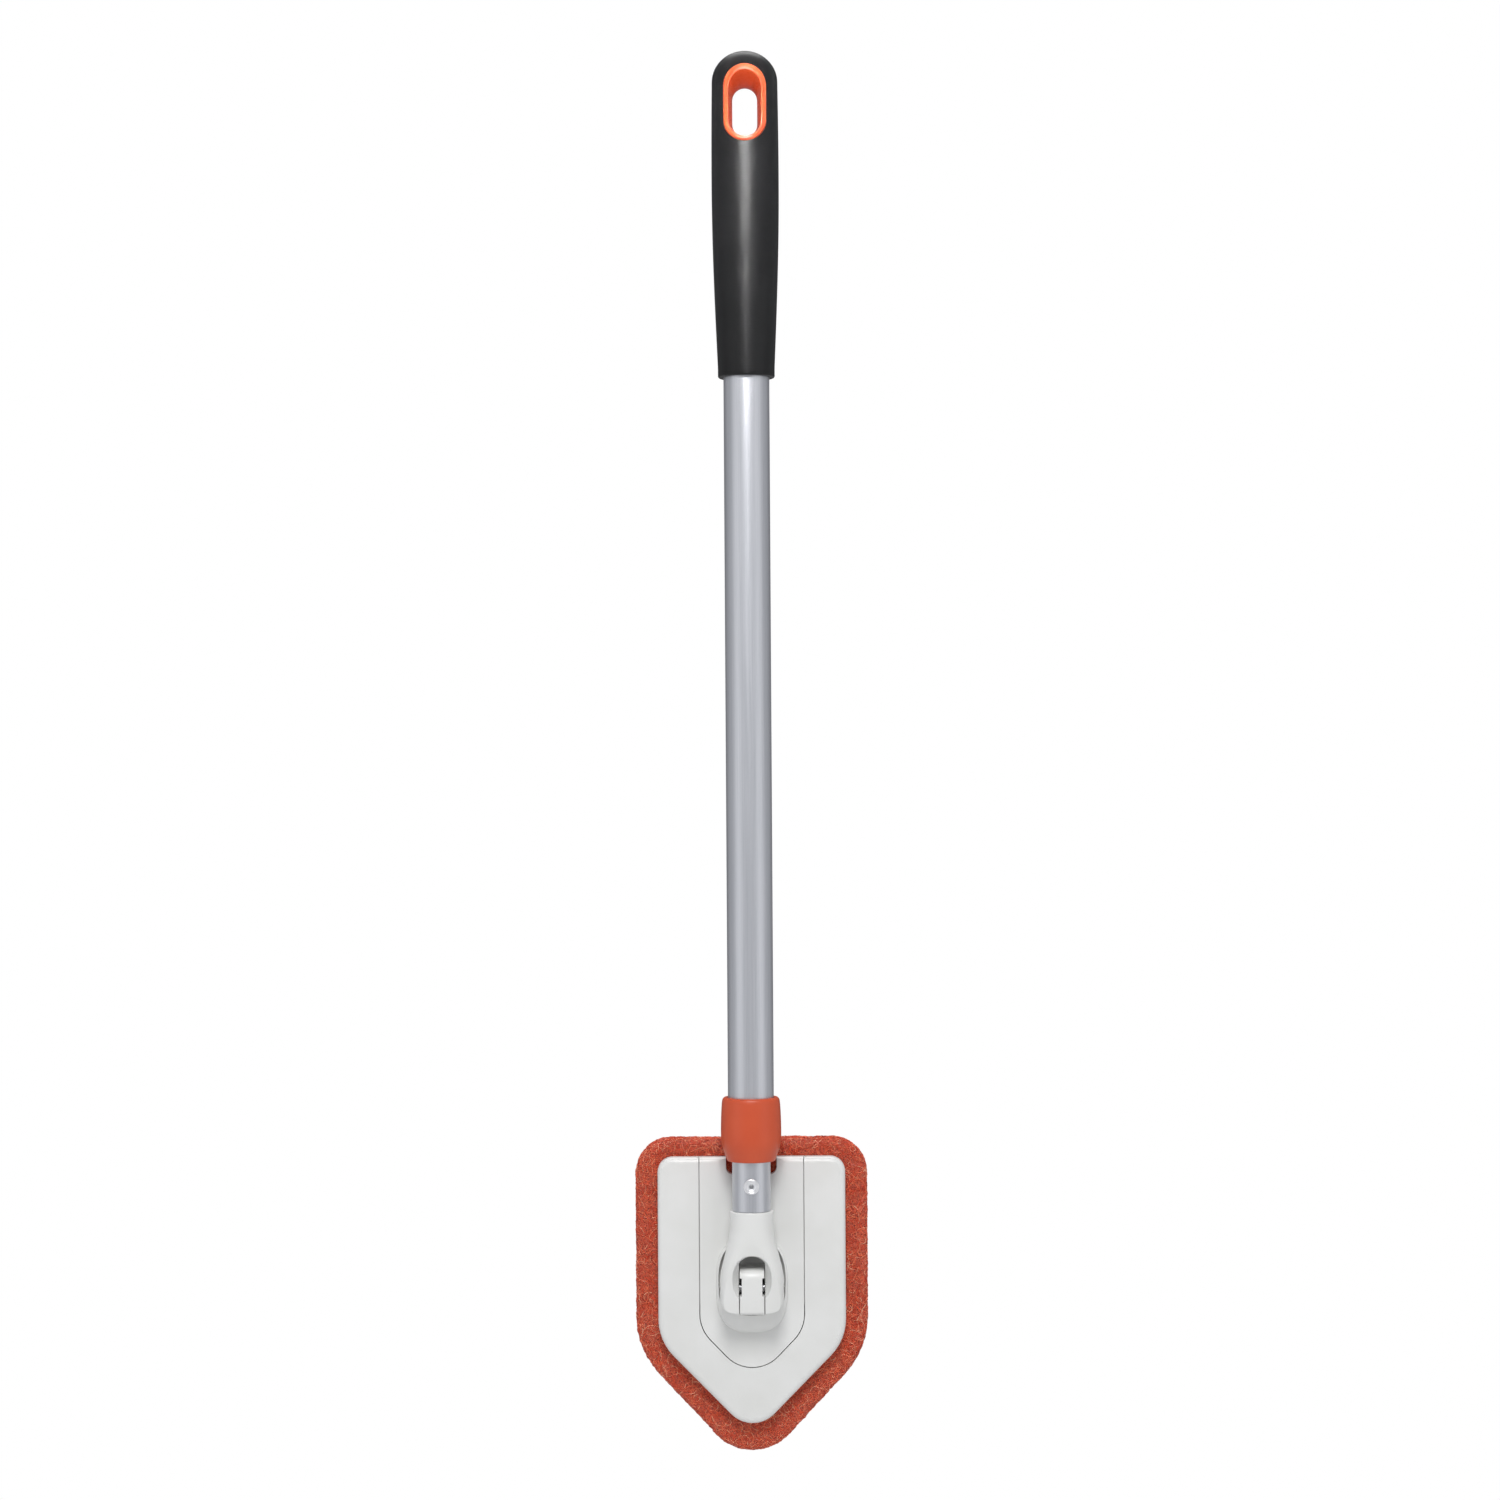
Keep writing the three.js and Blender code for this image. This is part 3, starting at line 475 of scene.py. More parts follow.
def egg(name: str, radii: Point3, centre: Point3, squareness: float = 2.0) -> Blank:
    """A ball drawn out along each axis.

    Args:
        name: The solid's name.
        radii: Its reach along X, Y and Z.
        centre: Its middle.
        squareness: 2 gives an ellipse in the front view, and more a fuller outline.

    Returns:
        The solid.
    """
    bm = bmesh.new()
    bmesh.ops.create_uvsphere(bm, u_segments=128, v_segments=64, radius=1)
    for vert in bm.verts:
        x, z = vert.co.x, vert.co.z
        round_size = math.hypot(x, z)
        if round_size > 0:
            reach = round_size / (abs(x) ** squareness + abs(z) ** squareness) ** (1 / squareness)
            vert.co.x, vert.co.z = x * reach, z * reach
    bmesh.ops.scale(bm, vec=radii, verts=bm.verts)
    bmesh.ops.translate(bm, vec=centre, verts=bm.verts)
    return Blank(name, bm)


def slab(
    name: str, outline: Iterable[Point2], front: float, back: float,
    front_rim: float = 0, back_rim: float = 0,
) -> Blank:
    """Extrudes an outline in X and Z along Y, and rounds its rims.

    Args:
        name: The solid's name.
        outline: The points of the outline, in turn.
        front: Where it starts.
        back: Where it ends.
        front_rim: Radius of the front rim.
        back_rim: Radius of the back rim.

    Returns:
        The solid.
    """
    bm = bmesh.new()
    face = bm.faces.new([bm.verts.new((x, front, z)) for x, z in outline])
    swept = bmesh.ops.extrude_face_region(bm, geom=[face])["geom"]
    moving = [v for v in swept if isinstance(v, bmesh.types.BMVert)]
    bmesh.ops.translate(bm, vec=(0, back - front, 0), verts=moving)
    bmesh.ops.remove_doubles(bm, verts=bm.verts, dist=WELD)
    bmesh.ops.recalc_face_normals(bm, faces=bm.faces)
    for place, radius in ((front, front_rim), (back, back_rim)):
        rim = [e for e in bm.edges if all(abs(v.co.y - place) < WELD for v in e.verts)]
        if radius:
            bmesh.ops.bevel(
                bm, geom=rim, offset=radius, offset_type="OFFSET", affect="EDGES", segments=8, profile=0.5,
                material=-1, clamp_overlap=False,
            )
    return Blank(name, bm)


def side_slab(name: str, outline: Sequence[Point2], half_width: float) -> Blank:
    """Extrudes an outline in Y and Z both ways along X."""
    lying = slab(name, outline, -half_width, half_width)
    return lying.moved(Matrix(((0, 1, 0, 0), (1, 0, 0, 0), (0, 0, 1, 0), (0, 0, 0, 1)))).flipped()


def loft(name: str, stations: Sequence[Sequence[float]]) -> Blank:
    """A column whose section changes with height.

    Args:
        name: The solid's name.
        stations: Height, half-width, half-depth and squareness, from the bottom up; a squareness of 2
            is an ellipse.

    Returns:
        The solid.
    """
    rows = len(stations) - 1
    bm = bmesh.new()
    bmesh.ops.create_cone(bm, cap_ends=True, segments=ROUND_STEPS, radius1=1, radius2=1, depth=rows)
    upright = [e for e in bm.edges if abs(e.verts[0].co.z - e.verts[1].co.z) > 0.5]
    bmesh.ops.subdivide_edges(bm, edges=upright, cuts=rows - 1, use_grid_fill=False)
    for vert in bm.verts:
        height, half_width, half_depth, squareness = stations[round(vert.co.z + rows / 2)]
        size = abs(vert.co.x) ** squareness + abs(vert.co.y) ** squareness
        reach = size ** (-1 / squareness)
        vert.co = (vert.co.x * reach * half_width, vert.co.y * reach * half_depth, height)
    bmesh.ops.remove_doubles(bm, verts=bm.verts, dist=WELD)
    bmesh.ops.recalc_face_normals(bm, faces=bm.faces)
    return Blank(name, bm)


# ------------------------------------------------------------------ finishes
def linear(code: str) -> tuple[float, float, float, float]:
    """Turns an sRGB hex code to linear colour.

    Args:
        code: Six hex digits.

    Returns:
        Red, green, blue and a full alpha.
    """
    shares = [int(code[i : i + 2], 16) / 255 for i in (0, 2, 4)]
    curve = [s / 12.92 if s <= 0.04045 else ((s + 0.055) / 1.055) ** 2.4 for s in shares]
    return (*curve, 1.0)


def feed(tree: bpy.types.NodeTree, node: bpy.types.Node, inputs: dict[str | int, Any]) -> None:
    """Sets or links a node's inputs.

    Args:
        tree: The tree that holds the node.
        node: The node to feed.
        inputs: A value, or the socket that it is linked from, for each input.
    """
    for name, value in inputs.items():
        if isinstance(value, bpy.types.NodeSocket):
            tree.links.new(value, node.inputs[name])
        else:
            node.inputs[name].default_value = value


def add_node(
    tree: bpy.types.NodeTree, kind: str, inputs: dict[str | int, Any] | None = None,
    stops: Sequence[tuple] = (), **settings: Any,
) -> bpy.types.Node:
    """Adds a shader node with its settings and links.

    Args:
        tree: The tree that it joins.
        kind: The node's type.
        inputs: A value, or the socket that it is linked from, for each input.
        stops: Place and colour of a ramp's stops.
        **settings: The node's own settings.

    Returns:
        The node.
    """
    node = tree.nodes.new(kind)
    for name, value in settings.items():
        setattr(node, name, value)
    feed(tree, node, inputs or {})
    for i, (place, colour) in enumerate(stops):
        ramp = node.color_ramp.elements
        stop = ramp[i] if i < 2 else ramp.new(place)
        stop.position = place
        stop.color = colour
    return node


@dataclass(frozen=True)
class Surface:
    """A material in the making: its nodes, its shader, and Object coordinates in metres."""

    tree: bpy.types.NodeTree
    shader: bpy.types.Node
    place: bpy.types.NodeSocket


@dataclass(frozen=True)
class Finish:
    """What a surface is made of, and how it was made."""

    name: str
    slot: str

    def material(self) -> bpy.types.Material:
        """Makes the finish's material, once.

        Returns:
            The material.
        """
        found = bpy.data.materials.get(self.name)
        if found:
            return found
        material = bpy.data.materials.new(self.name)
        material.use_nodes = True
        tree = material.node_tree
        tree.nodes.clear()
        shader = add_node(tree, "ShaderNodeBsdfPrincipled")
        add_node(tree, "ShaderNodeOutputMaterial", {"Surface": shader.outputs["BSDF"]})
        place = add_node(tree, "ShaderNodeTexCoord").outputs["Object"]
        self.dress(Surface(tree, shader, place))
        return material

    def dress(self, surface: Surface) -> None:
        """Gives the shader its colour, gloss and relief.

        Args:
            surface: The material to dress.
        """
        raise NotImplementedError


@dataclass(frozen=True)
class MouldedPlastic(Finish):
    """Injection-moulded plastic: the mould's spark-eroded grain breaks up an even, soft gloss."""

    tint: str
    shade: str
    roughness: float
    grain_mm: float
    relief_mm: float
    ior: float = 1.5
    flow_mm: float = 18.0
    unevenness: float = 0.05

    def dress(self, surface: Surface) -> None:
        """Lays a slow drift of colour from the flow of the melt, and the mould's fine grain.

        Args:
            surface: The material to dress.
        """
        tree, place = surface.tree, surface.place
        flow = add_node(
            tree, "ShaderNodeTexNoise", {"Vector": place, "Scale": 1 / (self.flow_mm * MM), "Detail": 2.0}
        )
        tint = add_node(
            tree, "ShaderNodeValToRGB", {"Fac": flow.outputs["Fac"]},
            stops=[(0.3, linear(self.shade)), (0.7, linear(self.tint))],
        )
        grain = add_node(
            tree, "ShaderNodeTexNoise", {"Vector": place, "Scale": 1 / (self.grain_mm * MM), "Detail": 3.0}
        )
        gloss = add_node(tree, "ShaderNodeMapRange", {
            "Value": grain.outputs["Fac"],
            "To Min": self.roughness - self.unevenness, "To Max": self.roughness + self.unevenness,
        })
        relief = add_node(
            tree, "ShaderNodeBump",
            {"Height": grain.outputs["Fac"], "Strength": 1.0, "Distance": self.relief_mm * MM},
        )
        feed(tree, surface.shader, {
            "Base Color": tint.outputs["Color"], "Roughness": gloss.outputs["Result"],
            "Normal": relief.outputs["Normal"], "IOR": self.ior,
        })


@dataclass(frozen=True)
class SoftTouch(Finish):
    """Thermoplastic rubber moulded over a core: near black, with a velvety grain that spreads highlights.

    The real grain is finer; it is drawn coarse enough to show.
    """

    tint: str = "0e0e0f"
    worn: str = "161617"
    roughness: float = 0.4
    unevenness: float = 0.05
    ior: float = 1.34
    rub_mm: float = 22.0
    grain_mm: float = 0.35
    relief_mm: float = 0.03

    def dress(self, surface: Surface) -> None:
        """Lays fine dimples, and faint paler and smoother patches where hands have rubbed.

        Args:
            surface: The material to dress.
        """
        tree, place = surface.tree, surface.place
        rub = add_node(
            tree, "ShaderNodeTexNoise", {"Vector": place, "Scale": 1 / (self.rub_mm * MM), "Detail": 3.0}
        )
        tint = add_node(
            tree, "ShaderNodeValToRGB", {"Fac": rub.outputs["Fac"]},
            stops=[(0.35, linear(self.tint)), (0.75, linear(self.worn))],
        )
        dimples = add_node(
            tree, "ShaderNodeTexVoronoi",
            {"Vector": place, "Scale": 1 / (self.grain_mm * MM), "Randomness": 1.0},
        )
        gloss = add_node(tree, "ShaderNodeMapRange", {
            "Value": rub.outputs["Fac"],
            "To Min": self.roughness + self.unevenness, "To Max": self.roughness - self.unevenness,
        })
        relief = add_node(
            tree, "ShaderNodeBump",
            {"Height": dimples.outputs["Distance"], "Strength": 0.35, "Distance": self.relief_mm * MM},
        )
        feed(tree, surface.shader, {
            "Base Color": tint.outputs["Color"], "Roughness": gloss.outputs["Result"],
            "Normal": relief.outputs["Normal"], "IOR": self.ior,
        })


@dataclass(frozen=True)
class AnodisedAluminium(Finish):
    """Drawn tube, etched and clear anodised: a satin metal with faint die lines along its length.

    Real die lines are finer; they are drawn coarse enough to show.
    """

    tint: str = "d0d1d6"
    dull: str = "c8cacf"
    roughness: float = 0.4
    line_mm: float = 0.5
    stretch: float = 0.01
    relief_mm: float = 0.004

    def dress(self, surface: Surface) -> None:
        """Lays die lines, drawn out along the tube.

        Args:
            surface: The material to dress.
        """
        tree = surface.tree
        drawn = add_node(
            tree, "ShaderNodeMapping", {"Vector": surface.place, "Scale": (1.0, 1.0, self.stretch)}
        )
        lines = add_node(
            tree, "ShaderNodeTexNoise",
            {"Vector": drawn.outputs["Vector"], "Scale": 1 / (self.line_mm * MM), "Detail": 4.0},
        )
        tint = add_node(
            tree, "ShaderNodeValToRGB", {"Fac": lines.outputs["Fac"]},
            stops=[(0.35, linear(self.dull)), (0.65, linear(self.tint))],
        )
        gloss = add_node(
            tree, "ShaderNodeMapRange",
            {"Value": lines.outputs["Fac"], "To Min": self.roughness - 0.04, "To Max": self.roughness + 0.05},
        )
        relief = add_node(
            tree, "ShaderNodeBump",
            {"Height": lines.outputs["Fac"], "Strength": 0.3, "Distance": self.relief_mm * MM},
        )
        feed(tree, surface.shader, {
            "Base Color": tint.outputs["Color"], "Roughness": gloss.outputs["Result"],
            "Normal": relief.outputs["Normal"], "Metallic": 1.0,
        })


@dataclass(frozen=True)
class TurnedMetal(Finish):
    """Small turned or headed metal piece: fine tool marks that break up its highlights."""

    tint: str
    roughness: float
    mark_mm: float = 0.25
    relief_mm: float = 0.02

    def dress(self, surface: Surface) -> None:
        """Lays fine tool marks and a slightly uneven gloss.

        Args:
            surface: The material to dress.
        """
        tree = surface.tree
        marks = add_node(
            tree, "ShaderNodeTexNoise",
            {"Vector": surface.place, "Scale": 1 / (self.mark_mm * MM), "Detail": 3.0},
        )
        gloss = add_node(
            tree, "ShaderNodeMapRange",
            {"Value": marks.outputs["Fac"], "To Min": self.roughness - 0.06, "To Max": self.roughness + 0.08},
        )
        relief = add_node(
            tree, "ShaderNodeBump",
            {"Height": marks.outputs["Fac"], "Strength": 0.4, "Distance": self.relief_mm * MM},
        )
        feed(tree, surface.shader, {
            "Base Color": linear(self.tint), "Roughness": gloss.outputs["Result"],
            "Normal": relief.outputs["Normal"], "Metallic": 1.0,
        })


@dataclass(frozen=True)
class NylonFibre(Finish):
    """Crimped nylon fibres bonded with a pigmented, gritty resin: each fibre takes the dye differently."""

    roughness: float = 0.42
    ior: float = 1.53
    grit_mm: float = 0.25
    relief_mm: float = 0.05

    def dress(self, surface: Surface) -> None:
        """Lays one tone on each fibre, and grit.

        Args:
            surface: The material to dress.
        """
        tree = surface.tree
        fibre = add_node(tree, "ShaderNodeNewGeometry")
        tone = add_node(
            tree, "ShaderNodeValToRGB", {"Fac": fibre.outputs["Random Per Island"]},
            stops=[
                (0.0, linear("a02c18")), (1.0, linear("f0b896")), (0.3, linear("cb4426")),
                (0.62, linear("dc5636")), (0.86, linear("ea7a52")),
            ],
        )
        grit = add_node(
            tree, "ShaderNodeTexNoise", {"Vector": surface.place, "Scale": 1 / (self.grit_mm * MM)}
        )
        relief = add_node(
            tree, "ShaderNodeBump",
            {"Height": grit.outputs["Fac"], "Strength": 0.6, "Distance": self.relief_mm * MM},
        )
        feed(tree, surface.shader, {
            "Base Color": tone.outputs["Color"], "Roughness": self.roughness,
            "Normal": relief.outputs["Normal"], "IOR": self.ior,
        })


@dataclass(frozen=True)
class FibreCore(Finish):
    """The web under its outer fibres: resin-soaked, with painted shade in the pits between its strands, so it
    reads as dark red pits.
    """

    strand: str = "c2543a"
    # painted shade: the colour given to the pits between the strands, for the shade that falls in them
    shaded_pit: str = "6e2116"
    roughness: float = 0.75
    cell_mm: float = 1.1
    relief_mm: float = 0.5

    def dress(self, surface: Surface) -> None:
        """Lays open cells between bonded strands, with painted shade that darkens each cell towards its
        middle.

        Args:
            surface: The material to dress.
        """
        tree = surface.tree
        cells = add_node(
            tree, "ShaderNodeTexVoronoi", {"Vector": surface.place, "Scale": 1 / (self.cell_mm * MM)},
            feature="DISTANCE_TO_EDGE",
        )
        # painted shade: darker towards the middle of each cell, where the pit lies in shade
        tone = add_node(
            tree, "ShaderNodeValToRGB", {"Fac": cells.outputs["Distance"]},
            stops=[(0.0, linear(self.strand)), (0.45, linear(self.shaded_pit))],
        )
        relief = add_node(
            tree, "ShaderNodeBump",
            {"Height": cells.outputs["Distance"], "Strength": 1.0, "Distance": self.relief_mm * MM},
            invert=True,
        )
        feed(tree, surface.shader, {
            "Base Color": tone.outputs["Color"], "Roughness": self.roughness,
            "Normal": relief.outputs["Normal"],
        })


SOFT_BLACK = SoftTouch("soft_touch_rubber", "soft_black")
# Polypropylene from an eroded mould: a warm orange with a satin sheen.
ORANGE = MouldedPlastic(
    "moulded_orange_polypropylene", "orange_plastic", "c8502a", "c24a26", roughness=0.42, grain_mm=0.3,
    relief_mm=0.012,
)
# The same plastic from a polished mould: a crisper line of light along the liner's lip.
LINER_ORANGE = MouldedPlastic(
    "polished_orange_polypropylene", "orange_plastic", "d0532b", "ca4d28", roughness=0.28, grain_mm=0.3,
    relief_mm=0.006,
)
# ABS: a clean, faintly warm white with a soft gloss.
WHITE = MouldedPlastic(
    "moulded_white_abs", "white_plastic", "dfdfdd", "dadad7", roughness=0.36, grain_mm=0.3, relief_mm=0.008,
    ior=1.53,
)
# Acetal and nylon for the working pieces inside, and a milky film of glue.
GREY = MouldedPlastic("moulded_grey_acetal", "grey_plastic", "8f9092", "86878a", 0.45, 0.3, 0.01)
NYLON = MouldedPlastic("machined_white_nylon", "white_plastic", "d9d7cf", "d2cfc6", 0.5, 0.4, 0.02)
HOT_MELT = MouldedPlastic("hot_melt_film", "adhesive", "d8cfb8", "cfc5ac", 0.35, 0.8, 0.05)
ALUMINIUM = AnodisedAluminium("anodised_drawn_aluminium", "satin_aluminium")
# Bare headed aluminium is brighter than the anodised tube, and steel is darker.
RIVET_ALUMINIUM = TurnedMetal("headed_aluminium_rivet", "satin_aluminium", "f2f2f4", roughness=0.36)
STEEL = TurnedMetal("turned_steel", "pin_steel", "98989a", roughness=0.3)
FIBRE = NylonFibre("bonded_nylon_fibre", "scouring_fibre")
# The core's dark pits are painted shade over the web's resin-soaked red.
CORE = FibreCore("resin_soaked_shaded_web", "scouring_fibre")


@dataclass(frozen=True)
class Piece:
    """A finished piece, and what it stands for."""

    object: bpy.types.Object
    body: str
    finish: Finish
    stands_for: tuple[str, ...]

    def place(self) -> None:
        """Dresses the piece, hangs it on its body and reports it."""
        if not self.object.data.materials:
            self.object.data.materials.append(self.finish.material())
        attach(self.object, self.body)
        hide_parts(*self.stands_for)
        log.info("%s rides on %s: %d faces", self.object.name, self.body, len(self.object.data.polygons))


# ------------------------------------------------------------------ grip
@dataclass
class Grip:
    """Soft sleeve, swollen in the middle, with a lined hole to hang it by."""

    crown: float = 17.4
    length: float = 153.0
    end_radius: float = 13.3
    swell: float = 2.45
    swell_end: float = 0.97
    swell_fade: float = 0.57
    easing: float = 0.1
    easing_start: float = 0.4
    easing_span: float = 0.25
    most_easing: float = 0.14
    flattening: float = 0.12
    crown_height: float = 14.6
    waist: float = 5.75
    waist_height: float = 22.8
    flare: float = 2.45
    flare_power: float = 1.2
    top_rise: float = 4.85
    lip: float = 1.8
    liner_proud: float = 0.35
    parting: float = 0.05
    seat: float = 0.1

    def half_width(self, distance: float) -> float:
        """Half of the grip's width at a distance below its crown.

        Args:
            distance: Millimetres down from the crown.

        Returns:
            The half-width in millimetres.
        """
        share = distance / self.length
        waning = max(0.0, min(1.0, (self.swell_end - share) / self.swell_fade))
        easing = self.easing * max(0.0, (self.easing_start - share) / self.easing_span) ** 2
        easing = min(easing, self.most_easing)
        swell = self.swell * (math.sin(waning * math.pi / 2) - easing)
        crown = min(1.0, distance / self.crown_height)
        return (self.end_radius + swell) * math.sqrt(1 - (1 - crown) ** 2)

    def form(self, name: str, offset: float) -> Blank:
        """Makes the grip's outer form.

        Args:
            name: The solid's name.
            offset: How far it is moved out.

        Returns:
            The form, domed above and round below.
        """
        crown_rows, body_rows, end_rows, end_round = 20, 60, 4, 0.8
        distances = [
            self.crown_height * (1 - math.cos(math.pi / 2 * i / crown_rows)) for i in range(crown_rows)
        ]
        step = (self.length - self.crown_height - end_round) / body_rows
        distances += [self.crown_height + step * i for i in range(body_rows + 1)]
        stations = []
        for distance in distances:
            wide = self.half_width(distance)
            share = max(0.0, min(1.0, (wide - self.end_radius) / self.swell))
            flat = self.flattening * (1.0 if distance < self.crown_height else share)
            lift = offset * (1 - 2 * distance / self.length)
            height = self.crown - distance + lift
            reach = offset if wide > 1 else 0
            stations.append((height, wide + reach, wide * (1 - flat) + reach, 2.0))
        for i in range(1, end_rows + 1):
            angle = math.pi / 2 * i / end_rows
            radius = self.end_radius + offset - end_round * (1 - math.cos(angle))
            height = self.crown - self.length + end_round * (1 - math.sin(angle))
            stations.append((height - offset, radius, radius, 2.0))
        return loft(name, stations[::-1])

    def seat_cutter(self, name: str, clearance: float) -> Blank:
        """Makes the straight slot that the liner fills.

        Args:
            name: The solid's name.
            clearance: How far it stands off the liner.

        Returns:
            The slot as a solid.
        """
        reach = self.flare + self.lip + clearance
        half = self.waist + reach
        top = self.top_rise + reach
        bottom = -self.waist_height - reach
        depth = self.end_radius + self.swell + PAST
        return slab(name, slot_outline(half, top, bottom), -depth, depth)

    def bore_cutter(self, name: str) -> Blank:
        """Makes the hole itself: narrowest at mid-depth, with a steep upper wall.

        Args:
            name: The solid's name.

        Returns:
            The hole as a solid.
        """
        rows, depth = 32, self.end_radius + self.swell
        bm = bmesh.new()
        outline = slot_outline(self.waist, 0.0, -self.waist_height)
        face = bm.faces.new([bm.verts.new((x, -depth, z)) for x, z in outline])
        for row in range(rows):
            swept = bmesh.ops.extrude_face_region(bm, geom=[face])["geom"]
            moving = [v for v in swept if isinstance(v, bmesh.types.BMVert)]
            bmesh.ops.translate(bm, vec=(0, 2 * depth / rows, 0), verts=moving)
            inner, face = face, next(f for f in swept if isinstance(f, bmesh.types.BMFace))
            if row > 0:
                bmesh.ops.delete(bm, geom=[inner], context="FACES_ONLY")
        upper, lower = -self.waist, self.waist - self.waist_height
        for vert in bm.verts:
            flare = abs(vert.co.y / depth) ** self.flare_power
            is_upper = vert.co.z > (upper + lower) / 2
            centre = upper if is_upper else lower
            lift = self.top_rise * flare if is_upper else 0.0
            scale = 1 + self.flare * flare / self.waist
            vert.co.x *= scale
            vert.co.z = centre + lift + (vert.co.z - centre) * scale
        bmesh.ops.remove_doubles(bm, verts=bm.verts, dist=WELD)
        bmesh.ops.recalc_face_normals(bm, faces=bm.faces)
        return Blank(name, bm)

    def sleeve(self) -> bpy.types.Object:
        """Makes the soft sleeve.

        Returns:
            The sleeve, open for the tube at its foot and for the liner near its crown.
        """
        tube = Extent.of("outer_tube")
        foot = self.crown - self.length - PAST
        bore = rod("sleeve_bore", tube.right + self.seat, foot, tube.top + self.seat)
        return (
            self.form("soft_grip_sleeve", 0.0)
            .combine(Cut.REMOVE, bore, self.seat_cutter("sleeve_hole", self.seat))
            .finished(40)
        )

    def liner(self) -> list[bpy.types.Object]:
        """Makes the two halves of the hole's liner, which meet at mid-depth.

        Returns:
            The front half and the back half.
        """
        halves = []
        for name, side in (("hang_hole_liner_front", -1), ("hang_hole_liner_back", 1)):
            middle = side * (FAR / 2 + self.parting)
            half = (
                self.form(name, self.liner_proud)
                .combine(Cut.KEEP, self.seat_cutter("liner_outline", 0.0))
                .combine(Cut.REMOVE, self.bore_cutter("liner_bore"))
                .combine(Cut.KEEP, block("liner_half", (FAR, FAR, FAR), (0, middle, 0)))
            )
            halves.append(half.softened(0.3, 14).finished(60))
        return halves

    def build(self) -> list[Piece]:
        """Makes the sleeve and the liner."""
        front, back = self.liner()
        return [
            Piece(self.sleeve(), "handle", SOFT_BLACK, ("grip_sleeve",)),
            Piece(front, "handle", LINER_ORANGE, ("hang_ring_front",)),
            Piece(back, "handle", LINER_ORANGE, ("hang_ring_back",)),
        ]


# ------------------------------------------------------------------ pole
@dataclass
class Pole:
    """The two drawn tubes that telescope."""

    wall: float = 1.0
    edge: float = 0.2

    def tube(self, name: str, node: str) -> bpy.types.Object:
        """Makes a tube, its ends lightly chamfered.

        Args:
            name: The tube's name.
            node: The CAD node whose size it takes.

        Returns:
            The tube.
        """
        size = Extent.of(node)
        outer, inner, edge = size.right, size.right - self.wall, self.edge
        profile = [
            (inner, size.bottom), (outer - edge, size.bottom), (outer, size.bottom + edge),
            (outer, size.top - edge), (outer - edge, size.top), (inner, size.top),
        ]
        return turned(name, profile, FINE_STEPS).finished()

    def build(self) -> list[Piece]:
        """Makes both tubes."""
        return [
            Piece(self.tube("outer_pole_tube", "outer_tube"), "handle", ALUMINIUM, ("outer_tube",)),
            Piece(self.tube("inner_pole_tube", "inner_tube"), "inner_pole", ALUMINIUM, ("inner_tube",)),
        ]


# ------------------------------------------------------------------ twist lock
@dataclass
class TwistLock:
    """The barrel-shaped collar that clamps the inner tube."""

    nose_radius: float = 11.5
    throat: float = 9.5
    lip: float = 1.6
    mouth: float = 11.0
    bore: float = 12.5
    cone_share: float = 0.32
    nose_wall: float = 2.0

    def collar(self) -> bpy.types.Object:
        """Makes the collar, straight above and drawn in to a short nose below.

        Returns:
            The collar, its edges well rounded.
        """
        size = Extent.of("lock_collar")
        length, belly = size.top - size.bottom, size.right
        stops = [
            (self.nose_radius - 1.0, 0.0), (self.nose_radius - 0.25, 0.012), (self.nose_radius + 0.12, 0.045),
            (self.nose_radius + 0.6, 0.09), (belly - 0.95, 0.19), (belly - 0.25, 0.29), (belly, 0.4),
            (belly, 0.55), (belly - 0.12, 0.7), (belly - 0.32, 0.84), (belly - 0.55, 0.93),
            (belly - 0.9, 0.975), (belly - 1.6, 1.0),
        ]
        outside = [(radius, size.bottom + share * length) for radius, share in flowing(stops, 6)]
        inside = [
            (self.mouth, size.top), (self.mouth, size.top - self.lip), (self.bore, size.top - self.lip),
            (self.bore, size.bottom + self.cone_share * length),
            (self.nose_radius - 0.6, size.bottom + self.nose_wall),
            (self.throat, size.bottom + self.nose_wall), (self.throat, size.bottom),
        ]
        return turned("twist_collar", [*outside, *inside], FINE_STEPS).finished(40)

    def build(self) -> list[Piece]:
        """Makes the collar."""
        return [Piece(self.collar(), "collar", ORANGE, ("lock_collar",))]


# ------------------------------------------------------------------ neck
@dataclass(frozen=True)
class ForkFoot:
    """The fork's foot in the front view: a shallow curve between round corners."""

    half_width: float = 15.1
    below_pin: float = 12.7
    nose_depth: float = 6.6
    side_drop: float = 3.1
    curve_radius: float = 34.0
    corner_radius: float = 6.5

    def outline(self, top: float, clearance: float = 0.0) -> list[Point2]:
        """The fork's outline, up to a height.

        Args:
            top: Where it is cut off above.
            clearance: How far it is moved out.

        Returns:
            The points of the outline.
        """
        side = self.half_width + clearance
        sag = self.curve_radius * (1 / math.cos(math.atan(self.side_drop / side)) - 1)
        corner = self.side_drop - self.below_pin
        return rounded([
            (-side, top, 0.0), (-side, corner, self.corner_radius),
            (0.0, -self.below_pin - sag - clearance, self.curve_radius),
            (side, corner, self.corner_radius), (side, top, 0.0),
        ], 24)


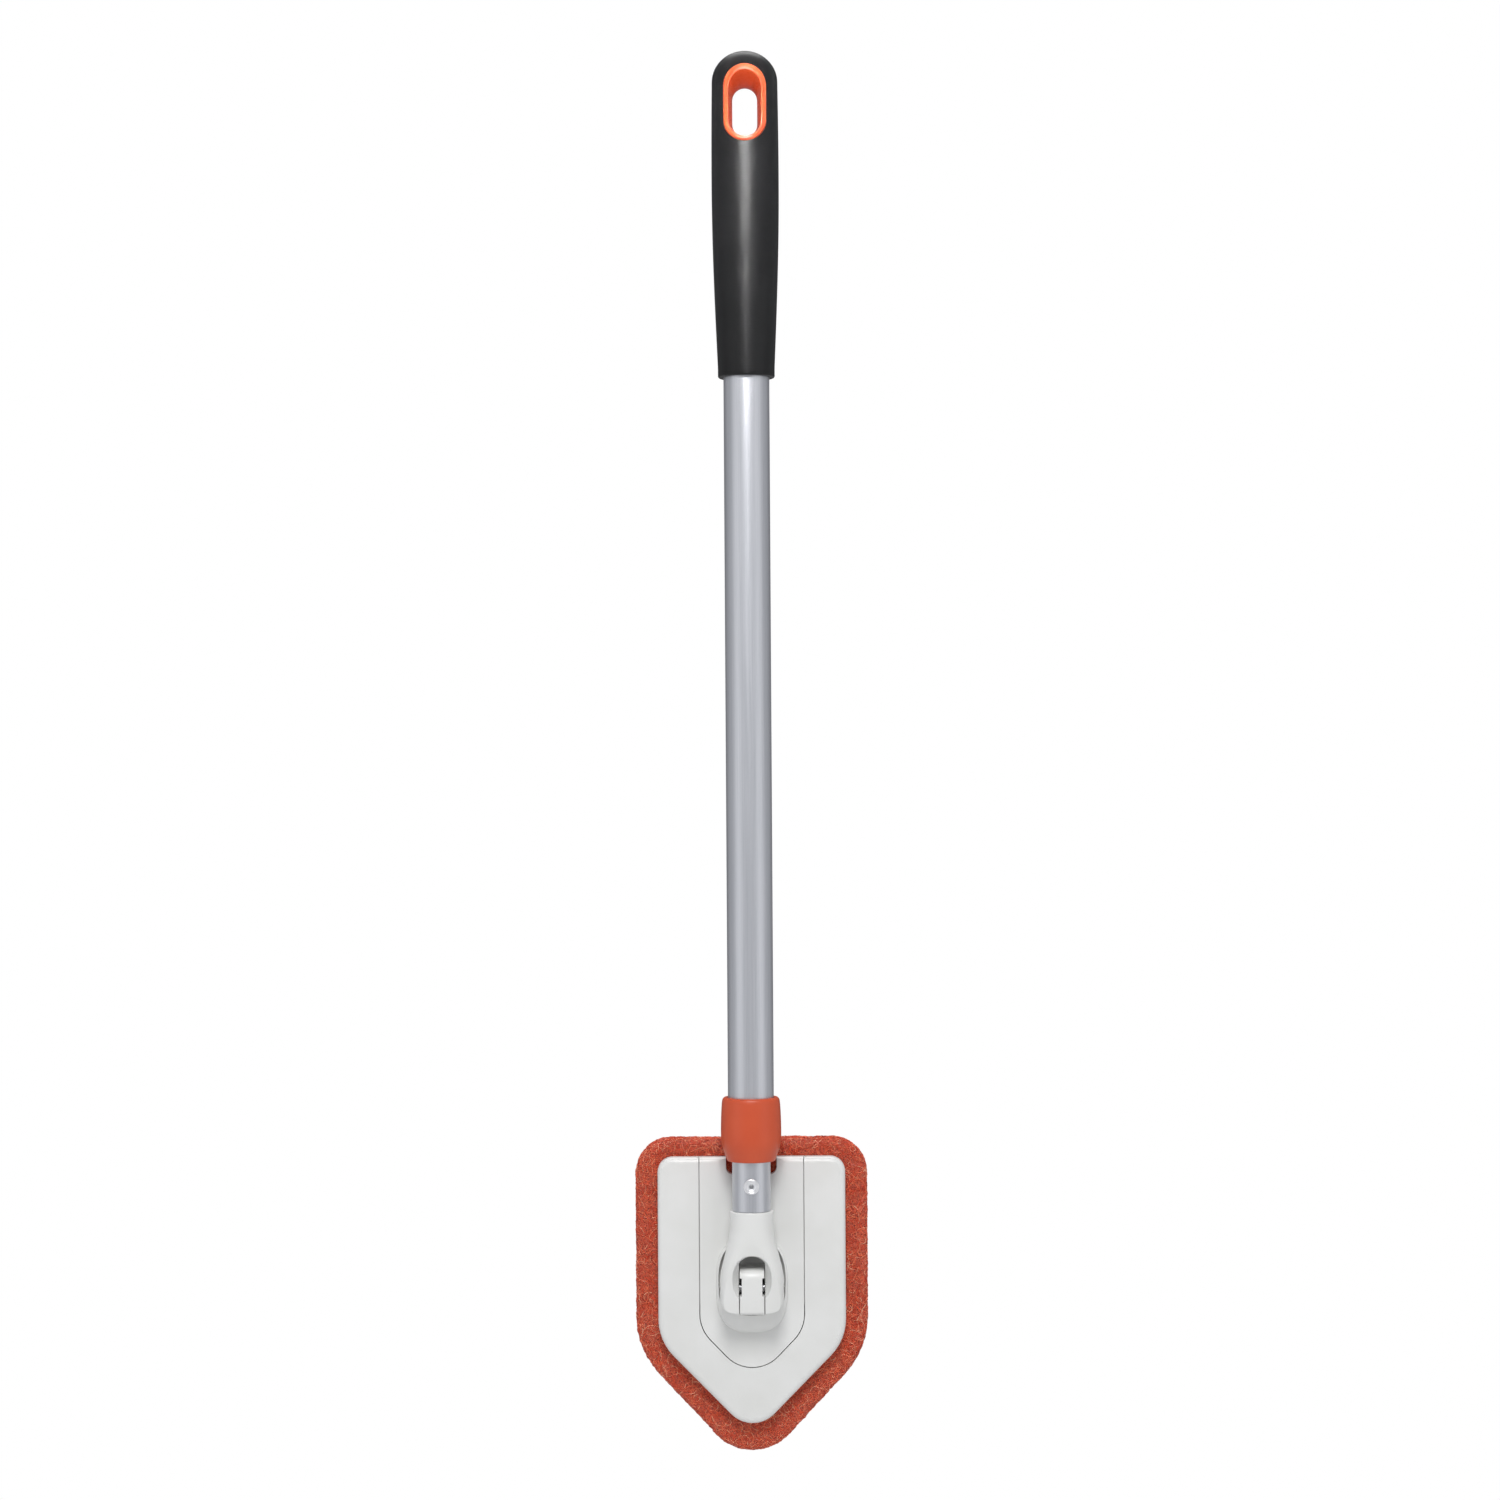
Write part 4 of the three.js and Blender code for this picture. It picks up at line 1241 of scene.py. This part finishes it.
@dataclass
class Neck:
    """The moulded neck with its fork, the rivet that holds it and the hinge pin."""

    foot: ForkFoot = ForkFoot()
    half_width: float = 15.0
    radius: float = 10.2
    slot_half_width: float = 6.1
    slot_above_pin: float = 15.6
    slot_spring: float = 12.4
    window: Point3 = (9.3, 9.5, 12.0)
    window_top: float = 16.2
    pin_play: float = 0.1
    spigot_inset: float = 1.1
    rivet_above: float = 12.3

    def __post_init__(self) -> None:
        """Reads the places that the frame knows."""
        self.pin = joint_height("head_tilt")
        self.top = joint_height("pole_swivel")
        self.above_pin = self.top - self.pin
        self.below_pin = self.foot.below_pin
        self.tube_radius = Extent.of("inner_tube").right

    def column(self) -> Blank:
        """Makes the neck's column.

        Returns:
            The column, round at the tube, and wider and squarer at the fork.
        """
        flare, full = self.half_width - self.radius, self.half_width
        stops = [
            (-self.below_pin, full - 3.6, self.radius, 3.0),
            (-self.below_pin + 1.2, full - 2.1, self.radius, 3.0),
            (-self.below_pin + 3.2, full - 0.9, self.radius, 3.0),
            (-self.below_pin + 6.5, full - 0.1, self.radius, 3.2),
            (3.0, full, self.radius, 3.2),
            (9.0, self.radius + 0.84 * flare, self.radius, 3.0),
            (15.0, self.radius + 0.54 * flare, self.radius, 2.6),
            (21.0, self.radius + 0.25 * flare, self.radius, 2.3),
            (28.0, self.radius + 0.04 * flare, self.radius, 2.0),
            (self.above_pin, self.radius, self.radius, 2.0),
        ]
        return loft("neck_and_fork", flowing(stops, 6))

    def side_form(self) -> Blank:
        """Makes the neck's side view.

        Returns:
            The view as a solid: its front leans back to the nose, and its heel is round the pin.
        """
        nose, foot = -self.foot.nose_depth, -self.below_pin
        heel = math.asin(min(1.0, self.radius / self.below_pin))
        arc = [
            (self.below_pin * math.sin(heel * k / 12), -self.below_pin * math.cos(heel * k / 12))
            for k in range(1, 13)
        ]
        front, back, top = -self.radius - PAST, self.radius + PAST, self.above_pin + PAST
        outline = [
            (front, top), (front, self.above_pin * 0.67), (-self.radius, self.above_pin * 0.6),
            (nose, foot + 2.0), (nose + 0.4, foot + 1.1), (nose + 1.1, foot + 0.6), (nose + 2.4, foot + 0.25),
            (0.0, foot), *arc, (back, arc[-1][1] + PAST), (back, top),
        ]
        return side_slab("neck_side", outline, self.half_width + PAST)

    def front_form(self) -> Blank:
        """The neck's front view."""
        outline = self.foot.outline(self.above_pin + PAST)
        return slab("neck_front", outline, -self.radius - PAST, self.below_pin + PAST)

    def slot_cutter(self) -> Blank:
        """Makes the slot that the lug stands in.

        Returns:
            The slot as a solid, with an arched top.
        """
        half, rise = self.slot_half_width, self.slot_above_pin - self.slot_spring
        radius = (half * half + rise * rise) / (2 * rise)
        spread, steps = math.asin(half / radius), 12
        turns = [spread * k / steps for k in range(-steps, steps + 1)]
        arch = [(radius * math.sin(t), self.slot_above_pin - radius * (1 - math.cos(t))) for t in turns]
        foot = -self.below_pin - PAST
        return slab("neck_slot", [(-half, foot), *arch, (half, foot)], -3 * self.radius, 3 * self.radius)

    def yoke(self) -> bpy.types.Object:
        """Makes the whole neck moulding.

        Returns:
            The neck, its fork and its spigot.
        """
        pin, cap = Extent.of("hinge_pin"), Extent.of("pin_cap_right")
        spigot = Extent.of("neck_yoke").top - self.pin
        far = 2 * self.half_width
        body = (
            self.column()
            .combine(Cut.KEEP, self.side_form(), self.front_form())
            .combine(
                Cut.REMOVE,
                self.slot_cutter(),
                egg("neck_window", self.window, (0, -self.radius, self.window_top - self.window[2]), 2.2),
                cross_rod("pin_bore", pin.back + self.pin_play, -far, far, 0),
                cross_rod("cap_seat_right", cap.back + self.pin_play, cap.left - self.pin_play, far, 0),
                cross_rod("cap_seat_left", cap.back + self.pin_play, -far, self.pin_play - cap.left, 0),
            )
        )
        body.softened(0.3, 3)
        plug = rod("spigot", self.tube_radius - self.spigot_inset, self.above_pin - PAST, spigot)
        body.combine(Cut.JOIN, plug)
        return body.moved(Matrix.Translation((0, 0, self.pin))).finished(60)

    def rivet(self) -> list[bpy.types.Object]:
        """Makes the blind rivet.

        Returns:
            Its dished head, and the stem left in it.
        """
        size, stem = Extent.of("neck_rivet"), Extent.of("rivet_mandrel")
        flange, proud = size.right, -self.tube_radius - size.front
        back = size.back + self.tube_radius
        head = flowing([
            (1.25, 0.03), (1.6, 0.12), (2.1, 0.34), (2.7, proud - 0.1), (3.1, proud), (3.4, proud - 0.1),
            (flange, 0.55), (flange, 0.25), (flange - 0.12, 0.1),
        ], 5)
        profile = [*head, (1.95, 0.1), (1.95, -back), (1.25, -back)]
        stem_half, stem_end = 0.95, stem.back + self.tube_radius
        crown = [(0.0, 0.36), (0.4, 0.33), (0.7, 0.22), (0.85, 0.08), (stem_half, -0.1)]
        stem_profile = [*crown, (stem_half, -stem_end), (0.0, -stem_end)]
        facing = Matrix.Translation((0, -self.tube_radius, self.top + self.rivet_above))
        facing = facing @ Matrix.Rotation(math.pi / 2, 4, "X")
        return [
            turned("blind_rivet", profile, 64).moved(facing).finished(50),
            turned("rivet_stem", stem_profile, 32).moved(facing).finished(50),
        ]

    def pin_pieces(self) -> list[bpy.types.Object]:
        """Makes the hinge pin and the caps over its ends, their edges broken.

        Returns:
            The pin, the left cap and the right cap.
        """
        stands_for = {
            "hinge_pin_rod": "hinge_pin",
            "hinge_cap_left": "pin_cap_left",
            "hinge_cap_right": "pin_cap_right",
        }
        made = []
        for name, node in stands_for.items():
            size = Extent.of(node)
            plain = cross_rod(name, size.back, size.left, size.right, self.pin)
            made.append(plain.eased(0.3, 60).finished(50))
        return made

    def build(self) -> list[Piece]:
        """Makes the neck, the rivet and the pin."""
        head, stem = self.rivet()
        pin, left, right = self.pin_pieces()
        return [
            Piece(self.yoke(), "inner_pole", WHITE, ("neck_yoke",)),
            Piece(head, "inner_pole", RIVET_ALUMINIUM, ("neck_rivet",)),
            Piece(stem, "inner_pole", STEEL, ("rivet_mandrel",)),
            Piece(pin, "inner_pole", STEEL, ("hinge_pin",)),
            Piece(left, "inner_pole", WHITE, ("pin_cap_left",)),
            Piece(right, "inner_pole", WHITE, ("pin_cap_right",)),
        ]


# ------------------------------------------------------------------ head
@dataclass
class Head:
    """The carrier with its hinge lug, and the frame that slides over it."""

    plate: Shield = PLATE
    panel: Shield = PANEL
    rim: float = 2.8
    parting: float = 0.45
    notch_half_width: float = 12.0
    notch_depth: float = 8.2
    notch_radius: float = 3.5
    scoop_radius: float = 46.0
    scoop_depth: float = 3.0
    scoop_length: float = 40.0
    boss: Point3 = (17.0, 8.5, 22.3)
    boss_fullness: float = 2.8
    well: Point2 = (15.9, 21.6)
    well_depth: float = 2.6
    foot: ForkFoot = ForkFoot()
    foot_clearance: float = 0.6
    lug_half_width: float = 5.8
    lug_waist: float = 4.8
    lug_crown: float = 9.4
    lug_crown_radius: float = 5.0
    lug_notch: float = 8.4
    lug_notch_rise: float = 1.1
    pin_play: float = 0.1
    nose_below: float = 11.8
    tongue_reach: float = 1.2
    tongue_thickness: float = 1.5
    tongue_top: float = 56.0
    tongue_foot: float = -10.0
    slide_play: float = 0.3

    def __post_init__(self) -> None:
        """Reads the places that the frame knows."""
        self.pin = joint_height("head_tilt")
        shell, carrier = Extent.of("backing_frame"), Extent.of("carrier")
        self.face, self.shell_back = shell.front, shell.back
        self.carrier_back = carrier.back
        self.tongue_middle = (self.face + self.carrier_back) / 2 + 0.2 * self.tongue_thickness

    def blank(self, name: str, back: float) -> Blank:
        """The whole plate with its soft front rim, before it is parted."""
        return slab(name, self.plate.points(), self.face, back, front_rim=self.rim)

    def top_notch(self) -> Blank:
        """Makes the cut-out in the top edge.

        Returns:
            The room that the collar's nose sits in.
        """
        half, top = self.notch_half_width, self.plate.top
        outline = rounded([
            (-half, top + PAST, 0.0), (-half, top - self.notch_depth, self.notch_radius),
            (half, top - self.notch_depth, self.notch_radius), (half, top + PAST, 0.0),
        ])
        return slab("top_notch", outline, 0.0, self.shell_back + PAST)

    def face_scoop(self) -> Blank:
        """Makes the shallow scoop in the panel.

        Returns:
            A leaning cylinder, which cuts deeper towards the top edge.
        """
        lean = Matrix.Rotation(-math.atan(self.scoop_depth / self.scoop_length), 4, "X")
        drop = Matrix.Translation((0, self.face + self.scoop_depth, self.plate.top))
        trough = rod("face_scoop", self.scoop_radius, -self.scoop_length, self.scoop_length, 256)
        return trough.moved(drop @ lean @ Matrix.Translation((0, -self.scoop_radius, 0)))

    def fork_pocket(self) -> Blank:
        """Makes the room that the fork swings in.

        Returns:
            The fork's foot, turned about the pin.
        """
        lower = [point for point in self.foot.outline(0.0, self.foot_clearance) if point[1] <= 0]
        reach = self.foot.half_width + self.foot_clearance
        nose = self.foot.nose_depth
        swept = [(math.hypot(nose, z), x) for x, z in lower if abs(x) < reach or z < 0]
        profile = [(0.0, -reach), *swept, (0.0, reach)]
        return turned("fork_pocket", profile).moved(Matrix.Rotation(math.pi / 2, 4, "Y"))

    def neck_well(self) -> Blank:
        """Makes the well that the neck stands in.

        Returns:
            The well as a solid, oval above the pin and straight just below it.
        """
        half_width, half_height = self.well
        oval = full_outline(half_width, half_height, self.boss_fullness, -0.5)
        reach, low = self.foot.half_width + self.foot_clearance, 0.1 * self.foot.below_pin
        upper = [point for point in oval if point[1] >= 0]
        outline = [*upper, (-reach, -low), (reach, -low)]
        return slab("neck_well", outline, -self.face, self.face + self.well_depth)

    def hinge_boss(self) -> Blank:
        """The egg-shaped boss round the fork."""
        ahead = block("boss_room", (FAR, FAR, FAR), (0, self.face + 1 - FAR / 2, 0))
        boss = egg("hinge_boss", self.boss, (0, self.face, -0.5), self.boss_fullness)
        return boss.combine(Cut.KEEP, ahead)

    def hinge_lug(self) -> Blank:
        """Makes the lug between the fork's arms.

        Returns:
            The lug, waisted where the pin shows at its sides.
        """
        nose, foot, back = -self.foot.nose_depth, -self.nose_below, self.face + PAST
        outline = rounded([
            (nose, self.lug_crown, self.lug_crown_radius), (nose + 0.4, foot, 1.8), (3.0, foot - 0.6, 0.0),
            (back, -0.7 * self.boss[2], 0.0), (back, self.lug_crown, 0.0),
        ])
        lug = side_slab("hinge_lug", outline, self.lug_half_width).eased(0.5, 40)
        depth, waist = 2 * self.foot.nose_depth + 4, self.lug_waist
        room = (2 * waist, depth, self.lug_notch)
        for side in (-1, 1):
            notch = block("lug_notch", room, (side * 2 * waist, -1, self.lug_notch_rise))
            lug.combine(Cut.REMOVE, notch)
        bore = Extent.of("hinge_pin").back + self.pin_play
        return lug.combine(Cut.REMOVE, cross_rod("lug_bore", bore, -2 * waist, 2 * waist, 0))

    def carrier(self) -> bpy.types.Object:
        """Makes the inner panel.

        Returns:
            The panel with its tongues, boss, pocket, scoop and lug.
        """
        tongues = block(
            "tongues",
            (2 * (self.panel.half_width + self.tongue_reach), self.tongue_thickness,
             self.tongue_top - self.tongue_foot),
            (0, self.tongue_middle, (self.tongue_top + self.tongue_foot) / 2),
        )
        inside = slab("panel_outline", self.panel.points(), 0.0, self.carrier_back)
        body = self.blank("hinged_carrier", self.carrier_back).combine(Cut.KEEP, inside)
        body.combine(Cut.JOIN, tongues, self.hinge_boss())
        body.combine(Cut.REMOVE, self.fork_pocket(), self.neck_well(), self.face_scoop(), self.top_notch())
        body.combine(Cut.JOIN, self.hinge_lug())
        return body.moved(Matrix.Translation((0, 0, self.pin))).finished(32)

    def shell(self) -> bpy.types.Object:
        """Makes the five-sided frame that the pad is bonded to.

        Returns:
            The frame, open at the top for the carrier and its tongues.
        """
        open_top = replace(self.panel.grown(self.parting), top=self.plate.top + PAST)
        floor = self.carrier_back + self.slide_play
        pocket = slab("carrier_pocket", open_top.points(), self.face - PAST, floor)
        reach = self.panel.half_width + self.tongue_reach + self.slide_play
        foot, top = self.tongue_foot - 3.0, self.plate.top + PAST
        grooves = block(
            "tongue_grooves", (2 * reach, self.tongue_thickness + 2 * self.slide_play, top - foot),
            (0, self.tongue_middle, (top + foot) / 2),
        )
        body = self.blank("backing_frame_shell", self.shell_back)
        body.combine(Cut.REMOVE, pocket, grooves, self.top_notch())
        return body.moved(Matrix.Translation((0, 0, self.pin))).finished(32)

    def build(self) -> list[Piece]:
        """Makes the carrier and the frame."""
        return [
            Piece(self.carrier(), "head", WHITE, ("carrier",)),
            Piece(self.shell(), "cassette", WHITE, ("backing_frame",)),
        ]


# ------------------------------------------------------------------ pad
@dataclass
class Pad:
    """The scouring pad: a rough core under a tangle of crimped fibres."""

    outline: Shield = PAD
    covered: Shield = PLATE
    tuck: float = 3.0
    edge: float = 2.6
    sunk: float = 0.45
    core_grain: float = 0.9
    lumps: float = 0.35
    fibres: int = 15000
    fibre_radius: float = 0.13
    step: float = 1.15
    steps: int = 7
    notch_reach: float = 14.0
    seed: int = 11

    def core(self) -> Blank:
        """Makes the pad's body.

        Returns:
            The body, a little smaller than the pad, with a lumpy surface.
        """
        size = Extent.of("scouring_pad")
        front, back = size.front + 0.1, size.back - self.sunk
        outline = self.outline.grown(-self.sunk).points()
        core = slab("scouring_pad_web", outline, front, back, self.edge, self.edge)
        core.modified("REMESH", mode="VOXEL", voxel_size=self.core_grain, use_smooth_shade=True)
        mesh = core.object.data
        normals = [v.normal.copy() for v in mesh.vertices]
        for vert, normal in zip(mesh.vertices, normals):
            rough = noise.noise(vert.co / 1.7) + 0.6 * noise.noise(vert.co / 6.0)
            vert.co += normal * (self.lumps * rough)
            vert.co.y = max(vert.co.y, front)
        return core.moved(Matrix.Translation((0, 0, joint_height("head_tilt"))))

    def is_hidden(self, spot: Vector, normal: Vector) -> bool:
        """Tells where no fibre would show.

        Args:
            spot: A place on the pad.
            normal: The surface's direction there.

        Returns:
            Whether the place lies under the frame.
        """
        height = spot.z - joint_height("head_tilt")
        in_notch = abs(spot.x) < self.notch_reach and height > self.covered.top - self.notch_reach
        return normal.y < -0.7 and self.covered.grown(-self.tuck).holds(spot.x, height) and not in_notch

    def web(self, core: Blank) -> bpy.types.Object:
        """Crimped fibres that lie on the core in every direction.

        Args:
            core: The pad's body.

        Returns:
            The fibres as one mesh, in millimetres.
        """
        dice = random.Random(self.seed)
        mesh = core.object.data
        tree = BVHTree.FromPolygons([v.co for v in mesh.vertices], [p.vertices for p in mesh.polygons])
        shown = [p for p in mesh.polygons if not self.is_hidden(p.center, p.normal)]
        running = list(accumulate(p.area for p in shown))
        curve = bpy.data.curves.new("fibres", "CURVE")
        curve.dimensions = "3D"
        curve.bevel_depth = self.fibre_radius
        curve.bevel_resolution = 0
        curve.use_fill_caps = True
        for _ in range(self.fibres):
            face = shown[bisect(running, dice.random() * running[-1]) % len(shown)]
            self.lay_fibre(curve, tree, face.center, face.normal, dice)
        holder = add_object("fibres", curve)
        graph = bpy.context.evaluated_depsgraph_get()
        woven = bpy.data.meshes.new_from_object(holder.evaluated_get(graph))
        bpy.data.objects.remove(holder)
        return add_object("fibres", woven)

    def lay_fibre(
        self, curve: bpy.types.Curve, tree: BVHTree, start: Vector, normal: Vector, dice: random.Random,
    ) -> None:
        """Lays one fibre: it wanders over the core, dipping in and standing a little proud.

        Args:
            curve: The curve that it joins.
            tree: The core's surface.
            start: Where it begins.
            normal: The surface's direction there.
            dice: Source of chance.
        """
        heading = normal.orthogonal().normalized()
        heading.rotate(Matrix.Rotation(dice.uniform(0, 2 * math.pi), 3, normal))
        bend = dice.gauss(0, 0.5)
        height, phase = dice.uniform(-0.05, 0.22), dice.uniform(0, math.pi)
        spot = start + heading * dice.uniform(-1, 1)
        places = []
        for k in range(self.steps):
            near, across, *_ = tree.find_nearest(spot)
            arch = height + 0.16 * math.sin(phase + 1.3 * k)
            places += [*(near + across * arch), 1.0]
            bend += dice.gauss(0, 0.25)
            heading = (heading - across * heading.dot(across)).normalized()
            heading.rotate(Matrix.Rotation(bend * 0.6, 3, across))
            spot = near + heading * self.step
        spline = curve.splines.new("POLY")
        spline.points.add(self.steps - 1)
        spline.points.foreach_set("co", places)
        size = dice.uniform(0.7, 1.25)
        ends = (0, self.steps - 1)
        radii = [size * (0.6 if k in ends else 1) for k in range(self.steps)]
        spline.points.foreach_set("radius", radii)

    def build(self) -> list[Piece]:
        """Makes the pad.

        Returns:
            One padded piece, of a core and its fibres.
        """
        core = self.core()
        fibres = self.web(core)
        pad = core.object
        pad.data.materials.append(CORE.material())
        pad.data.materials.append(FIBRE.material())
        bm = bmesh.new()
        bm.from_mesh(pad.data)
        bm.from_mesh(fibres.data)
        bm.faces.ensure_lookup_table()
        for face in bm.faces[len(pad.data.polygons):]:
            face.material_index = 1
        bm.to_mesh(pad.data)
        bm.free()
        bpy.data.objects.remove(fibres)
        core.finished(80)
        return [Piece(pad, "cassette", FIBRE, ("scouring_pad",))]


# ------------------------------------------------------------------ hidden pieces
INNER_FINISHES: dict[str, Finish] = {
    "grip_core": GREY,
    "grip_pin": STEEL,
    "lock_ferrule": GREY,
    "lock_collet": GREY,
    "guide_plug": GREY,
    "guide_ring": NYLON,
    "adhesive_layer": HOT_MELT,
}


def dress_inner_pieces() -> None:
    """Gives the CAD pieces that stay their own finishes."""
    for node, finish in INNER_FINISHES.items():
        held = frame["nodes"][node]
        if not held.material_slots:
            held.data.materials.append(None)
        held.material_slots[0].material = finish.material()
        log.info("%s keeps its CAD shape", node)


# ------------------------------------------------------------------ studio
@dataclass
class Studio:
    """Camera, floor and soft light."""

    camera_place: Point3 = (0.0, -1.455, -0.330)
    sensor_width: float = 36.0
    lens: float = 74.5
    shift_x: float = 0.0007
    shift_y: float = 0.0285
    roll: float = 0.36
    floor_drop: float = 1.5
    floor_size: float = 12.0
    floor_tint: str = "f2f2f2"
    floor_glow: float = 0.28
    room_tint: str = "f4f6fa"
    front_glow: float = 0.49
    back_glow: float = 0.14
    dims_from: float = 0.38
    dims_to: float = 0.92

    def camera(self) -> None:
        """A level camera in front of the pole."""
        data = bpy.data.cameras.new("camera")
        data.lens = self.lens
        data.sensor_width = self.sensor_width
        data.shift_x = self.shift_x
        data.shift_y = self.shift_y
        holder = add_object("camera", data)
        holder.location = self.camera_place
        holder.rotation_euler = (math.pi / 2, math.radians(self.roll), 0)
        bpy.context.scene.camera = holder

    def floor(self) -> None:
        """A plain pale floor, well below the hanging tool."""
        bm = bmesh.new()
        bmesh.ops.create_grid(bm, x_segments=1, y_segments=1, size=self.floor_size / 2)
        bmesh.ops.translate(bm, vec=(0, 0, CAD_BOX[0].z - self.floor_drop), verts=bm.verts)
        mesh = bpy.data.meshes.new("floor")
        bm.to_mesh(mesh)
        bm.free()
        material = bpy.data.materials.new("pale_floor")
        material.use_nodes = True
        feed(material.node_tree, material.node_tree.nodes["Principled BSDF"], {
            "Base Color": linear(self.floor_tint), "Roughness": 0.9,
            "Emission Color": linear("ffffff"), "Emission Strength": self.floor_glow,
        })
        mesh.materials.append(material)
        add_object("floor", mesh)

    def softbox(
        self, name: str, place: Point3, size: Point2, radiance: float, target: Point3, spread: float = 180.0,
    ) -> None:
        """A rectangular light that faces a point.

        Args:
            name: The light's name.
            place: Its centre, in metres.
            size: Its width and height, in metres.
            radiance: How bright its face looks; white paper in full light is 1.
            target: The point that it faces.
            spread: The angle of its beam, in degrees; 180 is a bare softbox, and less has a grid on it.
        """
        data = bpy.data.lights.new(name, "AREA")
        data.spread = math.radians(spread)
        data.shape = "RECTANGLE"
        data.size, data.size_y = size
        data.energy = radiance * math.pi * size[0] * size[1]
        holder = add_object(name, data)
        holder.location = place
        facing = Vector(target) - Vector(place)
        holder.rotation_euler = facing.to_track_quat("-Z", "Y").to_euler()
        holder.visible_camera = False

    def lights(self) -> None:
        """A top light in front, one kept to the grip, soft light at both sides, and a high one behind."""
        middle = (0.0, 0.0, -0.3)
        self.softbox("top_light", (0.0, -0.95, 0.50), (0.44, 0.45), 19.0, middle)
        self.softbox("grip_light", (0.03, -1.25, 0.40), (0.30, 0.12), 2.0, (0.0, 0.0, -0.018), 8.0)
        self.softbox("side_light_left", (-1.6, -1.1, -0.3), (1.4, 1.6), 0.52, middle)
        self.softbox("side_light_right", (1.6, -1.1, -0.3), (1.4, 1.6), 0.52, middle)
        self.softbox("back_light", (0.0, 1.3, 1.9), (1.6, 0.9), 4.5, middle)

    def surround(self) -> None:
        """A studio that is lighter in front of the tool than behind it, and plain white to look at."""
        world = bpy.data.worlds.new("surround")
        bpy.context.scene.world = world
        world.use_nodes = True
        tree = world.node_tree
        tree.nodes.clear()
        place = add_node(tree, "ShaderNodeTexCoord").outputs["Generated"]
        depth = add_node(tree, "ShaderNodeSeparateXYZ", {"Vector": place}).outputs["Y"]
        glow = add_node(
            tree, "ShaderNodeMapRange", {
                "Value": depth, "From Min": self.dims_from, "From Max": self.dims_to,
                "To Min": self.front_glow, "To Max": self.back_glow,
            },
            interpolation_type="SMOOTHSTEP",
        ).outputs["Result"]
        room = add_node(tree, "ShaderNodeBackground", {"Color": linear(self.room_tint), "Strength": glow})
        sweep = add_node(tree, "ShaderNodeBackground", {"Color": linear("ffffff")})
        seen = add_node(tree, "ShaderNodeLightPath").outputs["Is Camera Ray"]
        mix = add_node(
            tree, "ShaderNodeMixShader",
            {"Fac": seen, 1: room.outputs["Background"], 2: sweep.outputs["Background"]},
        )
        add_node(tree, "ShaderNodeOutputWorld", {"Surface": mix.outputs["Shader"]})

    def build(self) -> None:
        """Sets up the studio."""
        self.camera()
        self.floor()
        self.lights()
        self.surround()
        view = bpy.context.scene.view_settings
        view.view_transform = "Standard"
        view.look = "None"


def main() -> None:
    """Builds the studio and each sub-assembly in turn."""
    logging.basicConfig(level=logging.INFO, format="%(name)s: %(message)s")
    Studio().build()
    for assembly in (Grip(), Pole(), TwistLock(), Neck(), Head(), Pad()):
        for piece in assembly.build():
            piece.place()
    dress_inner_pieces()


if __name__ == "__main__":
    main()
